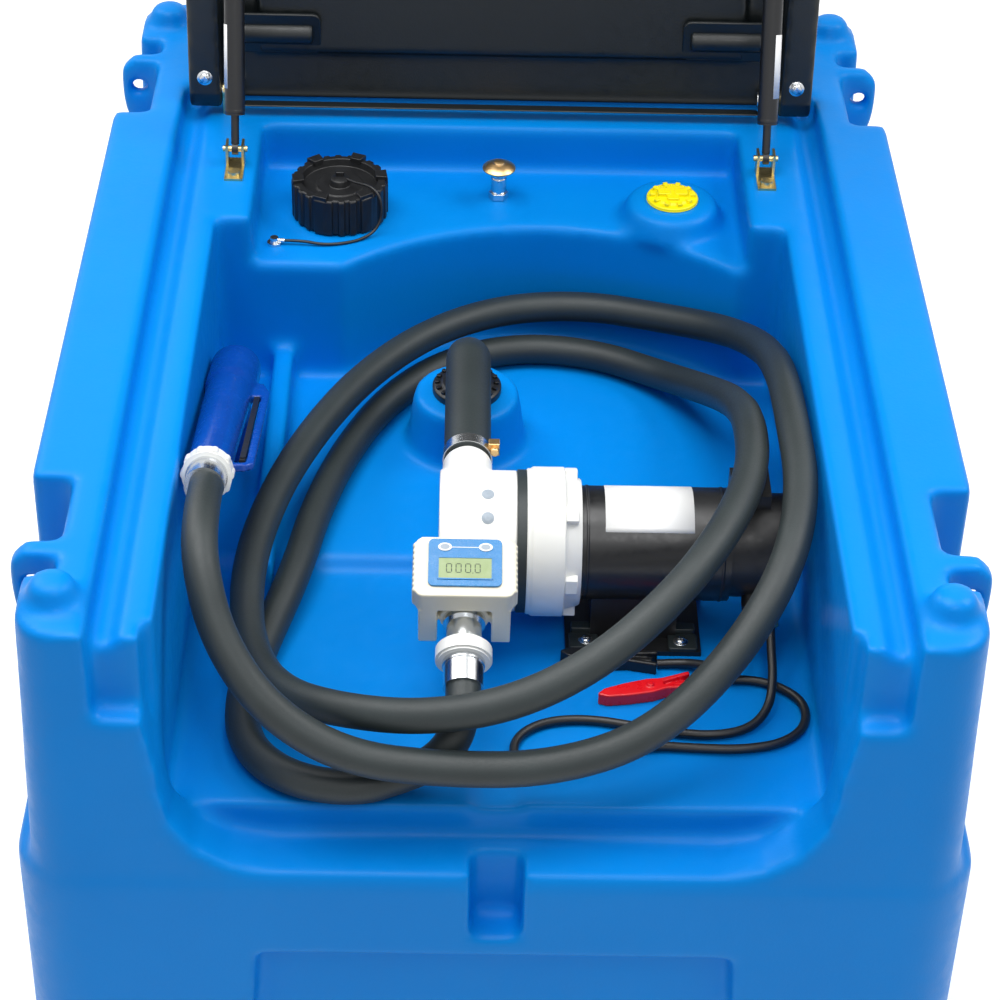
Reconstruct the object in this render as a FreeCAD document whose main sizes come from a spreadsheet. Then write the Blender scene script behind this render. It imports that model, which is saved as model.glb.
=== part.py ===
import FreeCAD
import Part
import Sketcher

import math
import os
import re

# Portable diesel exhaust fluid tank: moulded shell and top, hinged lid on
# two gas struts, 12 V transfer pump, turbine meter, delivery hose and nozzle.
# Millimetres. X runs across, front is -Y, Z is up, origin under the middle.

doc = FreeCAD.newDocument("exhaust_fluid_tank")
sheet = doc.addObject("Spreadsheet::Sheet", "Sizes")

SIZES = {
    "half_width": 400,
    "half_length": 540,
    "step_height": 483,
    "rim_height": 740,
    "wall": 8,
    "shell_corner": 60,
    "fork_offset": 200,
    "fork_width": 180,
    "fork_height": 90,
    "panel_bottom": 140,
    "panel_depth": 18,
    "rim_draft": 1.6,
    "post_corner": 34,
    "lug_thickness": 20,
    "lug_round": 14,
    "lug_hole": 17,
    "bay_centre_x": 40,
    "bay_radius": 280,
    "skirt_corner": 85,
    "ear_depth": 20,
    "notch_half": 22,
    "notch_bottom": 425,
    "notch_depth": 25,
    "notch_reach": 60,
    "notch_floor_drop": 5,
    "stud_base": 45,
    "stud_top": 34,
    "stud_height": 20,
    "port_x": -30,
    "port_top_radius": 50,
    "port_base_radius": 58,
    "level_boss": 22,
    "level_top_radius": 44,
    "level_base_radius": 52,
    "lid_open": 97,
    "hinge_round": 8,
    "hinge_width": 16,
    "hinge_gap": 1,
    "hinge_bolt": 8,
    "lid_curl": 18,
    "lid_skin": 6,
    "lid_front_gap": 2,
    "skirt_thickness": 12,
    "skirt_gap": 6,
    "lid_panel_drop": 10,
    "strut_reach": 380,
    "strut_drop": 7,
    "strut_tube": 20,
    "strut_rod": 8,
    "strut_tube_start": 34,
    "strut_tube_end": 216,
    "strut_eye": 12,
    "strut_pin": 6,
    "strut_clear": 0.3,
    "bracket_width": 18,
    "bracket_sheet": 2.5,
    "bracket_length": 42,
    "filler_bore": 74,
    "filler_neck": 84,
    "filler_height": 24,
    "cap_radius": 48,
    "cap_height": 46,
    "cap_clear": 0.3,
    "vent_x": -1,
    "vent_hex": 18,
    "vent_height": 30,
    "vent_cap_radius": 17,
    "vent_cap_height": 12,
    "plug_radius": 26,
    "plug_height": 10,
    "head_left": -53,
    "head_right": 15,
    "head_radius": 62,
    "gasket_thickness": 8,
    "gasket_radius": 63,
    "flange_thickness": 48,
    "flange_radius": 66,
    "flange_step": 33,
    "motor_radius": 50,
    "motor_length": 130,
    "motor_cap_length": 50,
    "motor_cap_radius": 46,
    "foot_plate": 5,
    "foot_left": 60,
    "foot_right": 180,
    "foot_block_inset": 22,
    "inlet_rise": 38,
    "inlet_radius": 17,
    "hose_wall": 4,
    "elbow_radius": 40,
    "elbow_start": 12,
    "fitting_radius": 33,
    "clamp_width": 12,
    "clamp_thickness": 1.2,
    "meter_tilt": 15,
    "face_thickness": 2,
    "outlet_radius": 15,
    "nut_radius": 24,
    "nut_length": 15,
    "ferrule_radius": 17,
    "ferrule_length": 26,
    "post_inset": 9,
    "post_side_inset": 21,
    "block_inset": 10,
    "lug_side_inset": 5,
    "rail_width": 24,
    "block_front_reach": 216,
    "block_rear_reach": 247,
    "lug_front_reach": 112,
    "lug_rear_reach": 142,
    "slot_front_reach": 88,
    "slot_rear_reach": 94,
    "pocket_drop": 118,
    "lug_hole_inset": 18,
    "lug_hole_drop": 33,
    "lug_foot_drop": 45,
    "rail_to_gutter": 57,
    "gutter_width": 23,
    "gutter_drop": 27,
    "ledge_drop": 19,
    "ledge_reach": 189,
    "lip_width": 25,
    "front_wall": 44,
    "floor_above_step": 44,
    "floor_rise": 12,
    "floor_step_reach": 365,
    "deck_drop": 70,
    "deck_rear_reach": 237,
    "deck_length": 184,
    "bay_centre_inset": 203,
    "pad_width": 34,
    "skirt_shoulder_drop": 86,
    "skirt_bend_drop": 148,
    "skirt_top_margin": 9,
    "skirt_low_margin": 2,
    "sill_above_step": 12,
    "ear_margin": 1,
    "stud_side_inset": 49,
    "stud_end_inset": 56,
    "ridge_inset": 52,
    "ridge_width": 20,
    "ridge_reach": 315,
    "ridge_rise": 35,
    "port_back": 103,
    "port_rise": 56,
    "port_radius_step": 8,
    "hinge_reach": 212,
    "hinge_rise": 5,
    "lid_margin": 7,
    "lid_panel_margin": 29,
    "lid_panel_rear": -40,
    "panel_drop": 79,
    "panel_side_top": 202,
    "panel_side_bottom": 182,
    "strut_margin": 12,
    "strut_foot_back": 107,
    "strut_foot_rise": 17,
    "filler_inset": 115,
    "filler_back": 116,
    "vent_back": 82,
    "level_inset": 102,
    "level_back": 112,
    "pump_back": 248,
    "pump_rise": 85,
    "foot_front_reach": 53,
    "foot_rear_reach": 53,
    "inlet_reach": 79,
    "meter_x": -30,
    "meter_ahead": 95,
    "meter_rise": 30,
    "meter_width": 84,
    "meter_length": 62,
    "case_thickness": 21,
    "case_round": 8,
    "tube_drop": 20,
    "housing_radius": 21,
    "leg_width": 16,
    "leg_inset": 3,
    "leg_length": 45,
    "rib_radius": 2.4,
    "face_width": 62,
    "face_length": 49,
    "outlet_length": 24,
    "nozzle_inset": 24,
    "nozzle_ahead": 21,
    "nozzle_rise": 88,
    "nozzle_slope": 16.7,
    "nozzle_radius": 19,
    "nozzle_shoulder": 22,
    "nozzle_head": 24,
    "grip_length": 205,
    "head_length": 92,
    "guard_reach": 38,
    "guard_bar": 7,
    "spout_radius": 12,
    "hose_radius": 15,
    "cable_radius": 4,
    "leash_radius": 1.5,
    "gland_radius": 7,
    "gland_length": 16,
    "clip_radius": 10,
    "clip_length": 84.9,
    "case_sink": 1,
    "housing_setback": 6,
    "housing_back": 12,
    "outlet_stub": 45,
    "leg_depth": 26,
    "face_shift": 3,
    "face_round": 5,
    "screen_width": 44,
    "screen_length": 24,
    "face_relief": 0.8,
    "button_radius": 5,
    "ferrule_bead": 4,
    "head_blend": 12,
    "guard_start": 4,
    "lever_width": 5,
    "spout_length": 40,
    "nozzle_nut_length": 16,
    "nozzle_nut_radius": 23,
    "lobe_radius": 4,
    "clip_height": 12,
    "pivot_radius": 3,
    "pivot_proud": 1,
    "cable_rest": 4.6,
    "gland_slope": 30,
    "gland_drop": 12,
    "gland_reach": 50,
    "gland_near": 21,
    "gland_far": 37,
    "box_length": 34,
    "box_front": 8,
    "box_rear": 34,
    "box_rise": 59,
    "leash_lug": 10,
    "screw_across": 62,
    "screw_ahead": 58,
}

# Places that follow from the sizes above; linked() writes them out in full.
PLACES = {
    "post_half_width": "(half_width-post_side_inset)",
    "post_half_length": "(half_length-post_inset)",
    "block_half_width": "(half_width-block_inset)",
    "block_front": "(block_front_reach-half_length)",
    "block_rear": "(half_length-block_rear_reach)",
    "lug_half_width": "(half_width-lug_side_inset)",
    "lug_pocket_inner": "(post_half_width-rail_width)",
    "lug_pocket_front": "(slot_front_reach-half_length)",
    "lug_pocket_rear": "(half_length-slot_rear_reach)",
    "lug_pocket_floor": "(rim_height-pocket_drop)",
    "lug_front": "(lug_front_reach-half_length)",
    "lug_rear": "(half_length-lug_rear_reach)",
    "gutter_outer": "(post_half_width-rail_to_gutter)",
    "gutter_inner": "(gutter_outer-gutter_width)",
    "gutter_floor": "(rim_height-gutter_drop)",
    "ledge_height": "(rim_height-ledge_drop)",
    "ledge_rear": "(half_length-ledge_reach)",
    "tray_half_width": "(gutter_inner-lip_width)",
    "tray_front": "(front_wall-post_half_length)",
    "floor_front": "(step_height+floor_above_step)",
    "floor_rear": "(floor_front+floor_rise)",
    "floor_step": "(floor_step_reach-half_length)",
    "deck_height": "(rim_height-deck_drop)",
    "deck_rear": "(half_length-deck_rear_reach)",
    "deck_front": "(deck_rear-deck_length)",
    "bay_centre_y": "(deck_front-bay_centre_inset)",
    "pad_inner": "(tray_half_width-pad_width)",
    "skirt_half_top": "(tray_half_width+skirt_top_margin)",
    "skirt_half_low": "(tray_half_width-skirt_low_margin)",
    "skirt_shoulder": "(rim_height-skirt_shoulder_drop)",
    "skirt_bend": "(rim_height-skirt_bend_drop)",
    "sill_height": "(step_height+sill_above_step)",
    "ear_half_width": "(gutter_outer-ear_margin)",
    "stud_offset": "(half_width-stud_side_inset)",
    "stud_y": "(half_length-stud_end_inset)",
    "ridge_outer": "(ridge_inset-tray_half_width)",
    "ridge_inner": "(ridge_outer+ridge_width)",
    "ridge_front": "(ridge_reach-half_length)",
    "ridge_height": "(floor_rear+ridge_rise)",
    "port_y": "(deck_front-port_back)",
    "port_height": "(floor_rear+port_rise)",
    "port_base_radius": "(port_top_radius+port_radius_step)",
    "hinge_y": "(half_length-hinge_reach)",
    "hinge_height": "(rim_height+hinge_rise)",
    "lid_half_width": "(gutter_outer-lid_margin)",
    "lid_flange_inner": "skirt_half_top",
    "lid_panel_half": "(tray_half_width-lid_panel_margin)",
    "panel_top": "(step_height-panel_drop)",
    "panel_half_top": "(half_width-panel_side_top)",
    "panel_half_bottom": "(half_width-panel_side_bottom)",
    "strut_x": "(tray_half_width-strut_margin)",
    "strut_foot_y": "(hinge_y-strut_foot_back)",
    "strut_foot_height": "(ledge_height+strut_foot_rise)",
    "filler_x": "(filler_inset-tray_half_width)",
    "filler_y": "(hinge_y-filler_back)",
    "vent_y": "(hinge_y-vent_back)",
    "level_x": "(tray_half_width-level_inset)",
    "level_y": "(hinge_y-level_back)",
    "pump_y": "(tray_front+pump_back)",
    "pump_height": "(floor_front+pump_rise)",
    "foot_front": "(pump_y-foot_front_reach)",
    "foot_rear": "(pump_y+foot_rear_reach)",
    "inlet_x": "(port_x+1)",
    "inlet_end": "(pump_y+inlet_reach)",
    "meter_y": "(pump_y-meter_ahead)",
    "meter_height": "(pump_height+meter_rise)",
    "nozzle_x": "(nozzle_inset-tray_half_width)",
    "nozzle_tail_y": "(pump_y-nozzle_ahead)",
    "nozzle_tail_height": "(pump_height+nozzle_rise)",
}

for row, (name, number) in enumerate(SIZES.items(), start=1):
    sheet.set("A%d" % row, name)
    sheet.set("B%d" % row, str(number))
    sheet.setAlias("B%d" % row, name)
doc.recompute()

WORD = re.compile(r"[a-z][a-z_]*")
NODES = []


def linked(text):
    """The text as an expression that reads its names from the sheet."""
    def full(match):
        word = match.group(0)
        if word in PLACES:
            return linked(PLACES[word])
        return "Sizes." + word if word in SIZES else word
    return WORD.sub(full, str(text))


def value(text):
    """The number that an expression of sheet names gives."""
    result = sheet.evalExpression(linked(text))
    return float(result)


def bind(obj, **properties):
    for name, text in properties.items():
        obj.setExpression(name.replace("__", "."), linked(text))


def place(obj, x="0", y="0", z="0"):
    bind(obj, Placement__Base__x=x, Placement__Base__y=y, Placement__Base__z=z)
    return obj


def box(name, x0, x1, y0, y1, z0, z1):
    obj = doc.addObject("Part::Box", name)
    bind(obj, Length="(%s)-(%s)" % (x1, x0), Width="(%s)-(%s)" % (y1, y0),
         Height="(%s)-(%s)" % (z1, z0))
    return place(obj, x0, y0, z0)


def aim(obj, axis):
    turn = FreeCAD.Rotation(FreeCAD.Vector(0, 0, 1), FreeCAD.Vector(*axis))
    obj.Placement = FreeCAD.Placement(obj.Placement.Base, turn)


def cylinder(name, radius, length, x, y, z, axis=(0, 0, 1)):
    obj = doc.addObject("Part::Cylinder", name)
    bind(obj, Radius=radius, Height=length)
    aim(obj, axis)
    return place(obj, x, y, z)


def cone(name, radius1, radius2, length, x, y, z, axis=(0, 0, 1)):
    obj = doc.addObject("Part::Cone", name)
    bind(obj, Radius1=radius1, Radius2=radius2, Height=length)
    aim(obj, axis)
    return place(obj, x, y, z)


def fuse(name, *shapes):
    obj = doc.addObject("Part::MultiFuse", name)
    obj.Shapes = list(shapes)
    obj.Refine = True
    return obj


def cut(name, base, *tools):
    obj = doc.addObject("Part::Cut", name)
    obj.Base = base
    obj.Tool = tools[0] if len(tools) == 1 else fuse(name + "_tool", *tools)
    obj.Refine = True
    return obj


def common(name, base, tool):
    obj = doc.addObject("Part::Common", name)
    obj.Base = base
    obj.Tool = tool
    obj.Refine = True
    return obj


def node(obj, name):
    obj.Label = name
    NODES.append(obj)
    return obj


def new_body(name):
    return doc.addObject("PartDesign::Body", name)


def new_sketch(body, name, role, offset=None):
    sketch = body.newObject("Sketcher::SketchObject", name)
    plane = [f for f in body.Origin.OriginFeatures if f.Role == role][0]
    sketch.AttachmentSupport = (plane, [""])
    sketch.MapMode = "FlatFace"
    if offset is not None:
        bind(sketch, AttachmentOffset__Base__z=offset)
    return sketch


def fix_point(sketch, geometry, end, across, up):
    for kind, text in (("DistanceX", across), ("DistanceY", up)):
        size = value(text)
        rule = sketch.addConstraint(Sketcher.Constraint(kind, -1, 1, geometry, end, size))
        if not re.fullmatch(r"-?[0-9.]+", str(text)):
            sketch.setExpression("Constraints[%d]" % rule, linked(text))


def outline(sketch, *points):
    """A closed outline of straight edges through points bound to the sheet."""
    flat = [FreeCAD.Vector(value(a), value(b), 0) for a, b in points]
    first = sketch.GeometryCount
    count = len(flat)
    for i in range(count):
        sketch.addGeometry(Part.LineSegment(flat[i], flat[(i + 1) % count]))
    for i in range(count):
        sketch.addConstraint(
            Sketcher.Constraint("Coincident", first + i, 2, first + (i + 1) % count, 1))
    for i, (a, b) in enumerate(points):
        fix_point(sketch, first + i, 1, a, b)


def rectangle(sketch, x0, x1, y0, y1):
    outline(sketch, (x0, y0), (x1, y0), (x1, y1), (x0, y1))


def rounded_rectangle(sketch, x0, x1, y0, y1, radius):
    """A rectangle whose four corners are arcs of one bound radius."""
    inner = {"x0": "%s+%s" % (x0, radius), "x1": "%s-%s" % (x1, radius),
             "y0": "%s+%s" % (y0, radius), "y1": "%s-%s" % (y1, radius)}
    corners = ((inner["x0"], y0, inner["x1"], y0), (x1, inner["y0"], x1, inner["y1"]),
               (inner["x1"], y1, inner["x0"], y1), (x0, inner["y1"], x0, inner["y0"]))
    sides = []
    for a, b, c, d in corners:
        ends = [FreeCAD.Vector(value(a), value(b), 0), FreeCAD.Vector(value(c), value(d), 0)]
        side = sketch.addGeometry(Part.LineSegment(*ends))
        fix_point(sketch, side, 1, a, b)
        fix_point(sketch, side, 2, c, d)
        sides.append(side)
    size = value(radius)
    centres = ((inner["x1"], inner["y0"]), (inner["x1"], inner["y1"]),
               (inner["x0"], inner["y1"]), (inner["x0"], inner["y0"]))
    for i, (cx, cy) in enumerate(centres):
        centre = FreeCAD.Vector(value(cx), value(cy), 0)
        start = (i - 1) * math.pi / 2
        ring = Part.Circle(centre, FreeCAD.Vector(0, 0, 1), size)
        arc = sketch.addGeometry(Part.ArcOfCircle(ring, start, start + math.pi / 2))
        sketch.addConstraint(Sketcher.Constraint("Coincident", sides[i], 2, arc, 1))
        sketch.addConstraint(Sketcher.Constraint("Coincident", arc, 2, sides[(i + 1) % 4], 1))
        rule = sketch.addConstraint(Sketcher.Constraint("Radius", arc, size))
        sketch.setExpression("Constraints[%d]" % rule, linked(radius))


def circle(sketch, x, y, radius):
    centre = FreeCAD.Vector(value(x), value(y), 0)
    item = sketch.addGeometry(
        Part.Circle(centre, FreeCAD.Vector(0, 0, 1), value(radius)))
    rule = sketch.addConstraint(Sketcher.Constraint("Radius", item, value(radius)))
    sketch.setExpression("Constraints[%d]" % rule, linked(radius))
    fix_point(sketch, item, 3, x, y)


def pad(body, sketch, length, reverse=False):
    before = body.Shape.Volume if body.Tip else 0
    step = body.newObject("PartDesign::Pad", sketch.Name + "_pad")
    step.Profile = sketch
    step.Reversed = reverse
    bind(step, Length=length)
    doc.recompute()
    assert "Invalid" not in step.State, step.Name + " " + step.getStatusString()
    assert body.Shape.Volume > before, step.Name + " adds nothing"
    return step


def pocket(body, sketch, length, reverse=False):
    before = body.Shape.Volume
    step = body.newObject("PartDesign::Pocket", sketch.Name + "_pocket")
    step.Profile = sketch
    step.Reversed = reverse
    bind(step, Length=length)
    doc.recompute()
    assert body.Shape.Volume < before, step.Name + " removes nothing"
    return step


def tank_shell():
    """Lower vessel, open at the top, with two fork channels in its base."""
    body = new_body("vessel_form")
    sketch = new_sketch(body, "shell_plan", "XY_Plane")
    rounded_rectangle(sketch, "-half_width", "half_width", "-half_length",
                      "half_length", "shell_corner")
    pad(body, sketch, "step_height")
    sketch = new_sketch(body, "vessel", "XY_Plane", "step_height")
    rounded_rectangle(sketch, "wall-half_width", "half_width-wall",
                      "wall-half_length", "half_length-wall", "(shell_corner-wall)")
    pocket(body, sketch, "step_height-wall")
    for side in (-1, 1):
        tag = "left" if side < 0 else "right"
        low = "%d*fork_offset-fork_width/2" % side
        high = "%d*fork_offset+fork_width/2" % side
        sketch = new_sketch(body, "fork_cover_" + tag, "XY_Plane", "wall/2")
        rectangle(sketch, low + "-wall", high + "+wall",
                  "wall/2-half_length", "half_length-wall/2")
        pad(body, sketch, "fork_height+wall/2")
        sketch = new_sketch(body, "fork_channel_" + tag, "XY_Plane", "0-wall")
        rectangle(sketch, low, high, "-half_length-wall", "half_length+wall")
        pocket(body, sketch, "fork_height+wall", reverse=True)
    for side in (-1, 1):
        tag = "front" if side < 0 else "rear"
        face = "half_length" if side < 0 else "-half_length"
        sketch = new_sketch(body, "panel_cover_" + tag, "XZ_Plane",
                            face + ("-wall/2" if side < 0 else "+wall/2"))
        outline(sketch, ("-panel_half_bottom-wall", "panel_bottom-wall"),
                ("panel_half_bottom+wall", "panel_bottom-wall"),
                ("panel_half_top+wall", "panel_top+wall"),
                ("-panel_half_top-wall", "panel_top+wall"))
        pad(body, sketch, "panel_depth+wall/2", reverse=side < 0)
        sketch = new_sketch(body, "panel_" + tag, "XZ_Plane",
                            face + ("+wall" if side < 0 else "-wall"))
        outline(sketch, ("-panel_half_bottom", "panel_bottom"),
                ("panel_half_bottom", "panel_bottom"),
                ("panel_half_top", "panel_top"),
                ("-panel_half_top", "panel_top"))
        pocket(body, sketch, "panel_depth+wall", reverse=side > 0)
    sketch = new_sketch(body, "notch_cover", "XY_Plane", "step_height")
    rectangle(sketch, "-notch_half-wall", "notch_half+wall", "-half_length+wall/2",
              "-post_half_length+notch_depth+wall")
    pad(body, sketch, "step_height-notch_bottom+wall", reverse=True)
    sketch = new_sketch(body, "notch_low", "XY_Plane", "step_height")
    rectangle(sketch, "-notch_half", "notch_half", "-half_length-wall",
              "-post_half_length+notch_depth")
    pocket(body, sketch, "step_height-notch_bottom")
    low = box("base_room", "-half_width-wall", "half_width+wall", "-half_length-wall",
              "half_length+wall", "-wall", "fork_height+wall")
    node(common("tank_base", body, low), "tank_base")
    node(cut("tank_shell", body, low), "tank_shell")


def cut_region(body, name, role, offset, depth, draw, reverse=False):
    sketch = new_sketch(body, name, role, offset)
    draw(sketch)
    pocket(body, sketch, depth, reverse)


def add_region(body, name, role, offset, depth, draw, reverse=False):
    sketch = new_sketch(body, name, role, offset)
    draw(sketch)
    pad(body, sketch, depth, reverse)


def bay_outline(sketch, half, front, straight, radius):
    """Plan of the pump bay: straight sides, and a rear edge with a round bite."""
    cx, cy, across = value("bay_centre_x"), value("bay_centre_y"), value(radius)
    rise = value(straight) - cy
    reach = math.sqrt(across ** 2 - rise ** 2)
    corners = [(-value(half), value(front)), (value(half), value(front)),
               (value(half), value(straight)), (cx + reach, value(straight)),
               (cx - reach, value(straight)), (-value(half), value(straight))]
    points = [FreeCAD.Vector(a, b, 0) for a, b in corners]
    for i in (0, 1, 2, 4, 5):
        sketch.addGeometry(Part.LineSegment(points[i], points[(i + 1) % 6]))
    middle_top = FreeCAD.Vector(cx, cy + across, 0)
    sketch.addGeometry(Part.Arc(points[3], middle_top, points[4]))


def skirt_outline(sketch, gap, base, top):
    """Front view of the lid's skirt: two lower corners round, two shoulders."""
    side = []
    for turn in (0, 22.5, 45, 67.5, 90):
        angle = math.radians(turn)
        side.append(("skirt_half_low-(%s)-skirt_corner*%.5f" % (gap, 1 - math.sin(angle)),
                     "sill_height+(%s)+skirt_corner*%.5f-(%s)"
                     % (gap, 1 - math.cos(angle), base)))
    side += [("skirt_half_low-(%s)" % gap, "skirt_bend-(%s)" % base),
             ("skirt_half_top-(%s)" % gap, "skirt_shoulder-(%s)" % base),
             ("skirt_half_top-(%s)" % gap, top)]
    outline(sketch, *(side + [("-(%s)" % x, z) for x, z in side[::-1]]))


def tank_top():
    """Upper moulding: rims and posts round a pump bay, a deck and a lid seat."""
    body = new_body("top_form")
    plan = new_sketch(body, "top_rim", "XY_Plane", "rim_height")
    rounded_rectangle(plan, "-post_half_width", "post_half_width",
                      "-post_half_length", "post_half_length", "post_corner")
    block = body.newObject("PartDesign::Pad", "top_block")
    block.Profile = plan
    block.Reversed = True
    bind(block, Length="rim_height-step_height", TaperAngle="rim_draft")
    doc.recompute()
    for side in (-1, 1):
        tag = "left" if side < 0 else "right"
        flip = "-" if side < 0 else ""
        def strip(sketch, inner, outer, front, rear):
            ends = [flip + "(%s)" % inner, flip + "(%s)" % outer]
            ends = ends[::-1] if side < 0 else ends
            rectangle(sketch, ends[0], ends[1], front, rear)
        add_region(body, "block_" + tag, "XY_Plane", "step_height",
                   "rim_height-step_height",
                   lambda k: strip(k, "lug_pocket_inner", "block_half_width",
                                   "block_front", "block_rear"))
        cut_region(body, "pocket_front_" + tag, "XY_Plane", "rim_height",
                   "rim_height-lug_pocket_floor",
                   lambda k: strip(k, "lug_pocket_inner", "half_width+wall",
                                   "lug_pocket_front", "block_front"))
        cut_region(body, "pocket_rear_" + tag, "XY_Plane", "rim_height",
                   "rim_height-lug_pocket_floor",
                   lambda k: strip(k, "lug_pocket_inner", "half_width+wall",
                                   "block_rear", "lug_pocket_rear"))
        for spot in ("front", "rear"):
            start = "-(lug_%s)" % spot
            def plate(sketch):
                rows = [("lug_pocket_inner-wall", "lug_pocket_floor-wall"),
                        ("post_half_width", "lug_pocket_floor-wall"),
                        ("lug_half_width", "rim_height-lug_foot_drop"),
                        ("lug_half_width", "rim_height-lug_round"),
                        ("lug_half_width-lug_round", "rim_height"),
                        ("lug_pocket_inner-wall", "rim_height")]
                outline(sketch, *[(flip + "(%s)" % a, b) for a, b in rows])
            add_region(body, "lug_%s_%s" % (spot, tag), "XZ_Plane", start,
                       "lug_thickness", plate, reverse=True)
            cut_region(body, "lug_hole_%s_%s" % (spot, tag), "XZ_Plane",
                       start + "+wall", "lug_thickness+2*wall",
                       lambda k: circle(k, flip + "(lug_half_width-lug_hole_inset)",
                                        "rim_height-lug_hole_drop", "lug_hole/2"),
                       reverse=False)
    cut_region(body, "gutters", "XY_Plane", "rim_height", "rim_height-gutter_floor",
               lambda k: rectangle(k, "-gutter_outer", "gutter_outer",
                                   "-post_half_length-wall", "ledge_rear"))
    add_region(body, "lip", "XY_Plane", "gutter_floor", "ledge_height-gutter_floor",
               lambda k: rectangle(k, "-gutter_inner", "gutter_inner",
                                   "-post_half_length", "ledge_rear"))
    cut_region(body, "deck", "XY_Plane", "ledge_height", "ledge_height-deck_height",
               lambda k: rectangle(k, "-pad_inner", "pad_inner", "deck_front-wall",
                                   "deck_rear"))
    cut_region(body, "bay_rear", "XY_Plane", "ledge_height", "ledge_height-floor_rear",
               lambda k: bay_outline(k, "tray_half_width", "tray_front", "deck_front",
                                     "bay_radius"))
    cut_region(body, "bay_front", "XY_Plane", "floor_rear", "floor_rear-floor_front",
               lambda k: rectangle(k, "-tray_half_width", "tray_half_width",
                                   "tray_front", "floor_step"))
    cut_region(body, "ears", "XZ_Plane", "post_half_length+wall", "ear_depth+wall",
               lambda k: rectangle(k, "-ear_half_width", "ear_half_width",
                                   "skirt_shoulder", "rim_height+wall"), reverse=False)
    cut_region(body, "skirt_seat", "XZ_Plane", "post_half_length+wall",
               "post_half_length+wall+tray_front+0.01",
               lambda k: skirt_outline(k, "0", "0", "rim_height"))
    cut_region(body, "notch", "XY_Plane", "sill_height", "sill_height-step_height+wall",
               lambda k: rectangle(k, "-notch_half", "notch_half",
                                   "-post_half_length-2*wall",
                                   "-post_half_length+notch_depth"))
    cut_region(body, "notch_channel", "XY_Plane", "floor_front", "notch_floor_drop",
               lambda k: rectangle(k, "-notch_half", "notch_half", "tray_front-wall",
                                   "tray_front+notch_reach"))
    add_region(body, "ridge", "XY_Plane", "floor_front-wall",
               "ridge_height-floor_front+wall",
               lambda k: rectangle(k, "ridge_outer", "ridge_inner", "ridge_front",
                                   "deck_front+wall"))
    cut_region(body, "space_under_floor", "XY_Plane", "step_height",
               "floor_front-wall-step_height",
               lambda k: rectangle(k, "-gutter_outer-3*wall", "gutter_outer+3*wall",
                                   "tray_front+wall", "post_half_length-wall"),
               reverse=True)
    cut_region(body, "space_under_deck", "XY_Plane", "step_height",
               "deck_height-wall-step_height",
               lambda k: deck_space(k), reverse=True)
    cut_region(body, "space_rear", "XY_Plane", "step_height",
               "rim_height-wall-step_height",
               lambda k: rectangle(k, "-gutter_outer-3*wall", "gutter_outer+3*wall",
                                   "ledge_rear+wall", "post_half_length-wall"),
               reverse=True)
    for side in (-1, 1):
        flip = "-" if side < 0 else ""
        tag = "left" if side < 0 else "right"
        def rim_space(sketch, inner, outer, front, rear):
            ends = sorted((flip + inner, flip + outer), key=value)
            rectangle(sketch, ends[0], ends[1], front, rear)
        cut_region(body, "space_rim_" + tag, "XY_Plane", "step_height",
                   "gutter_floor-wall-step_height",
                   lambda k: rim_space(k, "(tray_half_width+wall+2)",
                                       "(lug_pocket_inner-wall)",
                                       "ear_depth-post_half_length+wall+4",
                                       "post_half_length-wall"), reverse=True)
        cut_region(body, "space_block_" + tag, "XY_Plane", "step_height",
                   "rim_height-wall-step_height",
                   lambda k: rim_space(k, "(gutter_outer+wall)",
                                       "(block_half_width-wall)",
                                       "block_front+wall", "block_rear-wall"),
                   reverse=True)
    bosses(body)
    share_out(body)


def share_out(body):
    """The upper moulding in simpler pieces that meet face to face."""
    def room(name, x0, x1, y0):
        return box(name, x0, x1, y0, "half_length+wall", "step_height-wall",
                   "rim_height+stud_height+wall")
    left = room("left_room", "-half_width-wall", "-gutter_outer", "-half_length-wall")
    right = room("right_room", "gutter_outer", "half_width+wall", "-half_length-wall")
    rear = room("rear_room", "-gutter_outer", "gutter_outer", "deck_front-wall")
    node(common("tank_rail_left", body, left), "tank_rail_left")
    node(common("tank_rail_right", body, right), "tank_rail_right")
    node(common("tank_deck", body, rear), "tank_deck")
    node(cut("tank_top", body, left, right, rear), "tank_top")


def deck_space(sketch):
    cx, cy = value("bay_centre_x"), value("bay_centre_y")
    across = value("bay_radius+wall")
    half, rear = value("tray_half_width+wall"), value("ledge_rear+2*wall")
    straight = value("deck_front+wall")
    reach = math.sqrt(across ** 2 - (straight - cy) ** 2)
    corners = [(-half, rear), (-half, straight), (cx - reach, straight),
               (cx + reach, straight), (half, straight), (half, rear)]
    points = [FreeCAD.Vector(a, b, 0) for a, b in corners]
    for i in (0, 1, 3, 4, 5):
        sketch.addGeometry(Part.LineSegment(points[i], points[(i + 1) % 6]))
    sketch.addGeometry(Part.Arc(points[2], FreeCAD.Vector(cx, cy + across, 0), points[3]))


def revolve(body, name, role, x, points, offset=None):
    """Turns an outline about a vertical line at x in its sketch plane."""
    sketch = new_sketch(body, name, role, offset)
    outline(sketch, *points)
    axis = sketch.addGeometry(Part.LineSegment(FreeCAD.Vector(value(x), 0, 0),
                                               FreeCAD.Vector(value(x), 10, 0)), True)
    step = body.newObject("PartDesign::Revolution", name + "_turn")
    step.Profile = sketch
    step.ReferenceAxis = (sketch, ["Axis0"])
    step.Angle = 360
    doc.recompute()
    assert "Invalid" not in step.State, name + " " + step.getStatusString()
    return step


def turned(body, name, x, y, z, *points):
    """A turned boss: its outline holds (radius, height above z) pairs."""
    rows = [("%s+(%s)" % (x, r), "%s+(%s)" % (z, up)) for r, up in points]
    return revolve(body, name, "XZ_Plane", x, rows, "-(%s)" % y)


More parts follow.
